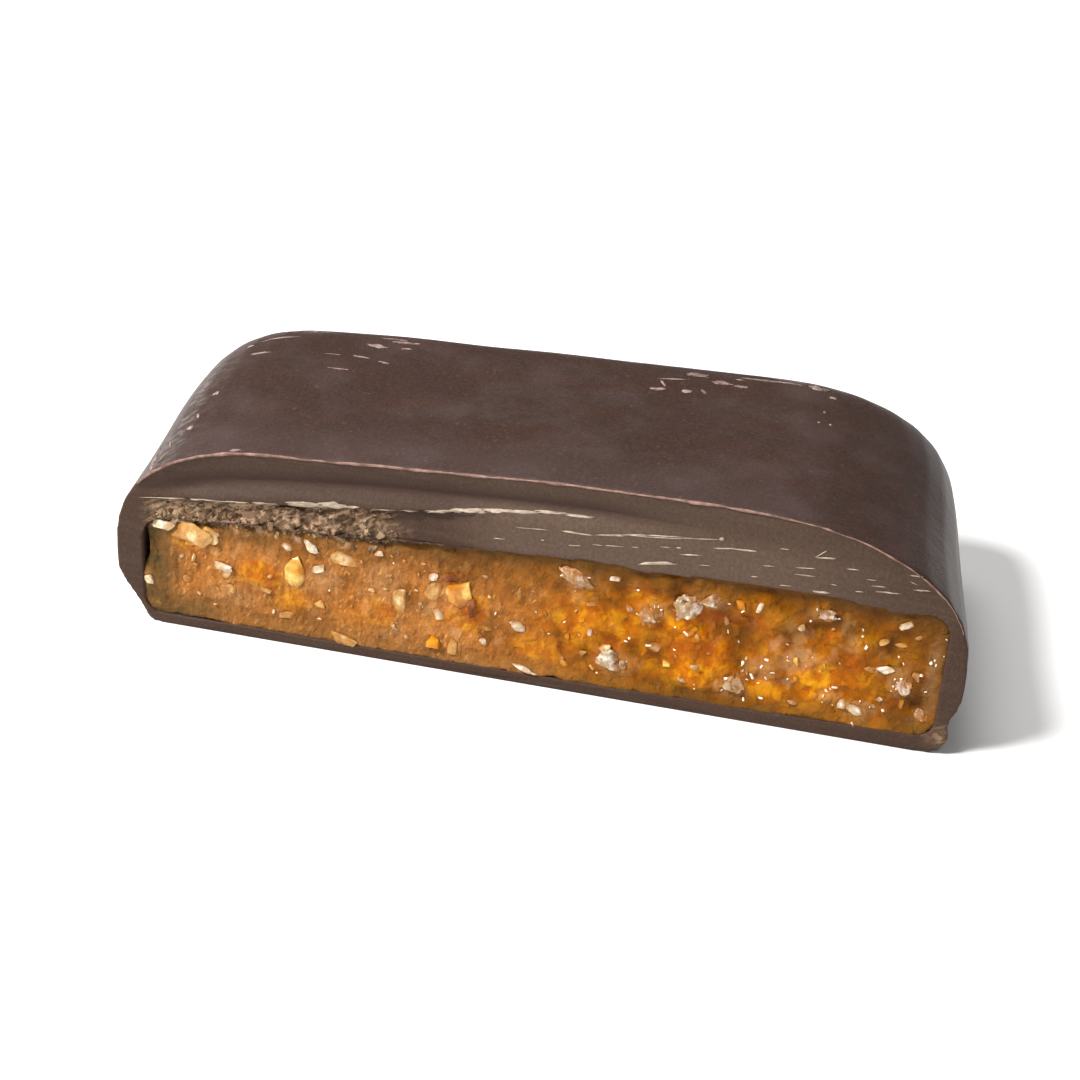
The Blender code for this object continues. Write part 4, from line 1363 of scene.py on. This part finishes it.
def smear(draw, length, width, turn, seed):
    """A thin ragged lens in millimetres, its length along x and its width up z."""
    bpy.ops.mesh.primitive_ico_sphere_add(subdivisions=3, radius=0.5)
    piece = bpy.context.object
    roughen(piece, 0.3, 0.34, seed)
    piece.data.transform(Matrix.Diagonal((1.1 * length, 0.05, 1.15 * width, 1.0)))
    piece.data.transform(Matrix.Rotation(-math.radians(turn), 4, "Y"))
    streaks = lumps(read_points(piece), (0.5, 1.0, 0.15), seed)
    mark(piece, "tone", 0.3 + 0.6 * draw.random() + 0.9 * streaks)
    return piece


def lay_on(piece, skin, lift):
    """Drops a flat piece's points on to a surface; what stood forward stays that much proud."""
    points = read_points(piece)
    for place in points:
        before = Vector(from_cut((place[0], RAY_START, place[2])))
        hit = strike(skin, place[0], place[2])[0] or skin.find_nearest(before)[0]
        place[1] += min(to_cut(hit)[1], DEEPEST_FACE) - lift
    write_points(piece, from_cut(points))


def lay_on_top(piece, skin, lift):
    """Drops a flat piece's points on to the coating from above, its front side up."""
    points = read_points(piece)[:, [0, 2, 1]] * (1.0, 1.0, -1.0)
    for place in points:
        above = Vector((place[0], place[1], 30.0)) * MM
        hit = skin.ray_cast(above, Vector((0.0, 0.0, -1.0)))[0] or skin.find_nearest(above)[0]
        place[2] += hit[2] / MM + lift
    write_points(piece, points * MM)


class TOFFEE_OT_dashes(bpy.types.Operator):
    """Dashes: pale smears that the blade dragged along the chocolate"""

    bl_idname = "toffee.dashes"
    bl_label = "Knife dashes"

    def execute(self, context):
        skin = tree_of("coating")
        made = []
        for index, (along, high, length, width, turn) in enumerate(DASHES):
            finer = between(1.0, 0.7, rise(along, 6.0, 4.0))
            piece = smear(random.Random(DASH_SEED + index), length, finer * width, turn, index)
            piece.data.transform(Matrix.Translation((along, 0.0, high)))
            lay_on(piece, skin, DASH_LIFT)
            made.append(piece)
        finish = crumbly_chocolate("dragged_crumbs", "dash", "dash_pale", 0.5)
        join_as("dashes", made, finish)
        return {"FINISHED"}


class TOFFEE_OT_scrapes(bpy.types.Operator):
    """Scrapes: pale chips and marks where the back edge and the left shoulder were rubbed"""

    bl_idname = "toffee.scrapes"
    bl_label = "Scrapes"

    def execute(self, context):
        skin = tree_of("coating")
        made = []
        for index, (x, y, length, width, turn) in enumerate(SCRAPES):
            piece = smear(random.Random(SCRAPE_SEED + index), length, width, turn, 40 + index)
            piece.data.transform(Matrix.Translation((x, 0.0, y)))
            lay_on_top(piece, skin, SCRAPE_LIFT)
            made.append(piece)
        finish = crumbly_chocolate("scraped_skin", "scrape", "scrape_pale", 0.5)
        join_as("scrapes", made, finish)
        return {"FINISHED"}


def scatter(model, spots):
    """Copies of one modelled bit, each with its own mesh, at matrices with a tone for each."""
    made = []
    for matrix, tone in spots:
        copy = model.copy()
        copy.data = model.data.copy()
        bpy.context.scene.collection.objects.link(copy)
        copy.data.transform(matrix)
        mark(copy, "tone", np.full(len(copy.data.vertices), tone))
        made.append(copy)
    bpy.data.objects.remove(model)
    return made


def spot_on(skins, along, high, draw, stretch):
    """A matrix that stands a bit of unit size on the front surface, turned and stretched."""
    hits = [hit for hit in (strike(skin, along, high) for skin in skins) if hit[0]]
    hit, normal, _, _ = min(hits, key=lambda found: found[3], default=(None,) * 4)
    if hit is None or to_cut(hit)[1] > DEEPEST_FACE:
        return None
    turn = Matrix.Rotation(draw.uniform(0, 2 * math.pi), 4, "Z")
    tilt = Matrix.Rotation(draw.uniform(-0.9, 0.9), 4, "X")
    stand = normal.to_track_quat("Z", "Y").to_matrix().to_4x4()
    return Matrix.Translation(hit) @ stand @ turn @ tilt @ Matrix.Diagonal((*stretch, 1.0))


class TOFFEE_OT_flakes(bpy.types.Operator):
    """Flakes: broken bits of chocolate lying in the recess above the toffee"""

    bl_idname = "toffee.flakes"
    bl_label = "Chocolate flakes"

    def execute(self, context):
        skins = tree_of("coating"), tree_of("toffee")
        draw = random.Random(SCATTER_SEED)
        model = chopped_block(draw, 2, 5, 0.04, 1)
        largest = sizes().flake_size
        spots = []
        while len(spots) < FLAKES:
            along = draw.uniform(-23.0, -8.0)
            high = draw.uniform(6.6, 10.4)
            zone = broken_zone(np.array([along]), np.array([high]))[0]
            size = largest * (0.25 + 0.75 * draw.random() ** 2)
            if len(spots) < EDGE_FLAKES:
                high = draw.gauss(7.45 + 0.05 * (along + 18.0), 0.2)
                zone, size = 1.0, 1.6 * size
            stretch = (size, size * draw.uniform(0.4, 0.9), size * draw.uniform(0.25, 0.6))
            if zone < 0.5 + 0.4 * draw.random() or high < 7.0:
                continue
            matrix = spot_on(skins, along, high, draw, stretch)
            if matrix is not None:
                spots.append((matrix, draw.random() ** 1.6))
        finish = crumbly_chocolate("broken_chocolate", "flake", "flake_pale")
        join_as("flakes", scatter(model, spots), finish)
        bpy.ops.object.shade_smooth_by_angle(angle=BIT_EDGE)
        return {"FINISHED"}


class TOFFEE_OT_glints(bpy.types.Operator):
    """Glints: painted highlights on the toffee, near-white bits that show as glints of light"""

    bl_idname = "toffee.glints"
    bl_label = "Sugar glints"

    def execute(self, context):
        skin = tree_of("toffee")
        draw = random.Random(SCATTER_SEED + 1)
        model = chopped_block(draw, 2, 3, 0.06, 1)
        usual = sizes().glint_size
        spots = []
        while len(spots) < GLINTS:
            if draw.random() < 0.45:
                centre, height, reach, tall, _ = draw.choice(MILKS)
                along, high = draw.gauss(centre, 0.6 * reach), draw.gauss(height, 0.6 * tall)
            else:
                along, high = draw.uniform(-22.0, 22.6), draw.uniform(1.2, 8.4)
            if draw.random() > 0.12 + 0.88 * rise(along, -8.0, 14.0):
                continue
            size = usual * draw.uniform(0.5, 1.0 + 1.4 * draw.random() ** 3)
            stretch = (size * draw.uniform(1.0, 3.0), size, size)
            matrix = spot_on((skin,), along, high, draw, stretch)
            if matrix is not None:
                spots.append((matrix, draw.random()))
        join_as("glints", scatter(model, spots), sugar_crystal())
        bpy.ops.object.shade_smooth_by_angle(angle=BIT_EDGE)
        return {"FINISHED"}


# ---------------------------------------------------------------- floor, light and camera


class TOFFEE_OT_stage(bpy.types.Operator):
    """Pale floor, soft studio light and the camera at the photograph's viewing angle"""

    bl_idname = "toffee.stage"
    bl_label = "Stage"

    def execute(self, context):
        object_mode()
        bpy.ops.object.select_all(action="DESELECT")
        bpy.ops.mesh.primitive_plane_add(size=sizes().floor_width, location=(0.0, 0.0, 0.0))
        floor = context.object
        floor.name = "floor"
        floor.data.materials.append(pale_floor())
        for row in LAMPS:
            lamp(*row)
        world = bpy.data.worlds.new("studio")
        world.use_nodes = True
        sky = world.node_tree.nodes["Background"].inputs
        sky["Color"].default_value = SKY_COLOUR
        sky["Strength"].default_value = SKY_STRENGTH
        context.scene.world = world
        context.scene.view_settings.view_transform = "Standard"
        photo_camera()
        return {"FINISHED"}


def lamp(name, place, size, watts):
    """A round soft light that looks at the origin."""
    data = bpy.data.lights.new(name, "AREA")
    data.shape = "DISK"
    data.size = size
    data.energy = watts
    made = bpy.data.objects.new(name, data)
    made.location = place
    made.rotation_euler = (-Vector(place)).to_track_quat("-Z", "Y").to_euler()
    bpy.context.scene.collection.objects.link(made)


def photo_camera():
    """A camera that sees the piece as the photograph shows it, as the scene's camera."""
    level = math.cos(CAMERA_ELEVATION)
    back = Vector((
        math.sin(CAMERA_AZIMUTH) * level, -math.cos(CAMERA_AZIMUTH) * level,
        math.sin(CAMERA_ELEVATION),
    ))
    right = (-back).cross(Vector(HIGH)).normalized()
    up = right.cross(-back)
    turned_right = right * math.cos(CAMERA_ROLL) + up * math.sin(CAMERA_ROLL)
    turned_up = up * math.cos(CAMERA_ROLL) - right * math.sin(CAMERA_ROLL)
    data = bpy.data.cameras.new("camera")
    data.lens = CAMERA_LENS
    data.sensor_width = SENSOR_WIDTH
    data.clip_start = NEAREST_SEEN
    camera = bpy.data.objects.new("camera", data)
    axes = Matrix((turned_right, turned_up, back)).transposed().to_4x4()
    camera.matrix_world = Matrix.Translation(Vector(CAMERA_PLACE) * MM) @ axes
    bpy.context.scene.collection.objects.link(camera)
    bpy.context.scene.camera = camera


class TOFFEE_PT_panel(bpy.types.Panel):
    """Lists the pieces of the toffee in the order that they are made"""

    bl_idname = "TOFFEE_PT_panel"
    bl_label = "Chocolate toffee"
    bl_space_type = "VIEW_3D"
    bl_region_type = "UI"
    bl_category = "Toffee"

    def draw(self, context):
        column = self.layout.column()
        for maker in MAKERS:
            column.operator(maker.bl_idname)
        for group in (sizes(), context.scene.toffee_colours):
            for name in group.bl_rna.properties.keys():
                if name not in ("rna_type", "name"):
                    column.prop(group, name)


MAKERS = (
    TOFFEE_OT_coating, TOFFEE_OT_filling, TOFFEE_OT_nuts, TOFFEE_OT_burr, TOFFEE_OT_dashes,
    TOFFEE_OT_scrapes, TOFFEE_OT_flakes, TOFFEE_OT_glints, TOFFEE_OT_stage,
)
CLASSES = (ToffeeSizes, ToffeeColours) + MAKERS + (TOFFEE_PT_panel,)


def register():
    """Makes the operators, the panel and its sizes and colours known to Blender."""
    for kind in CLASSES:
        bpy.utils.register_class(kind)
    bpy.types.Scene.toffee_sizes = bpy.props.PointerProperty(type=ToffeeSizes)
    bpy.types.Scene.toffee_colours = bpy.props.PointerProperty(type=ToffeeColours)


def unregister():
    """Takes back what register() did."""
    del bpy.types.Scene.toffee_colours
    del bpy.types.Scene.toffee_sizes
    for kind in reversed(CLASSES):
        bpy.utils.unregister_class(kind)


def main():
    """Makes every piece in order, then the stage."""
    register()
    bpy.ops.toffee.coating()
    bpy.ops.toffee.filling()
    bpy.ops.toffee.nuts()
    bpy.ops.toffee.burr()
    bpy.ops.toffee.dashes()
    bpy.ops.toffee.scrapes()
    bpy.ops.toffee.flakes()
    bpy.ops.toffee.glints()
    bpy.ops.toffee.stage()


if __name__ == "__main__":
    main()
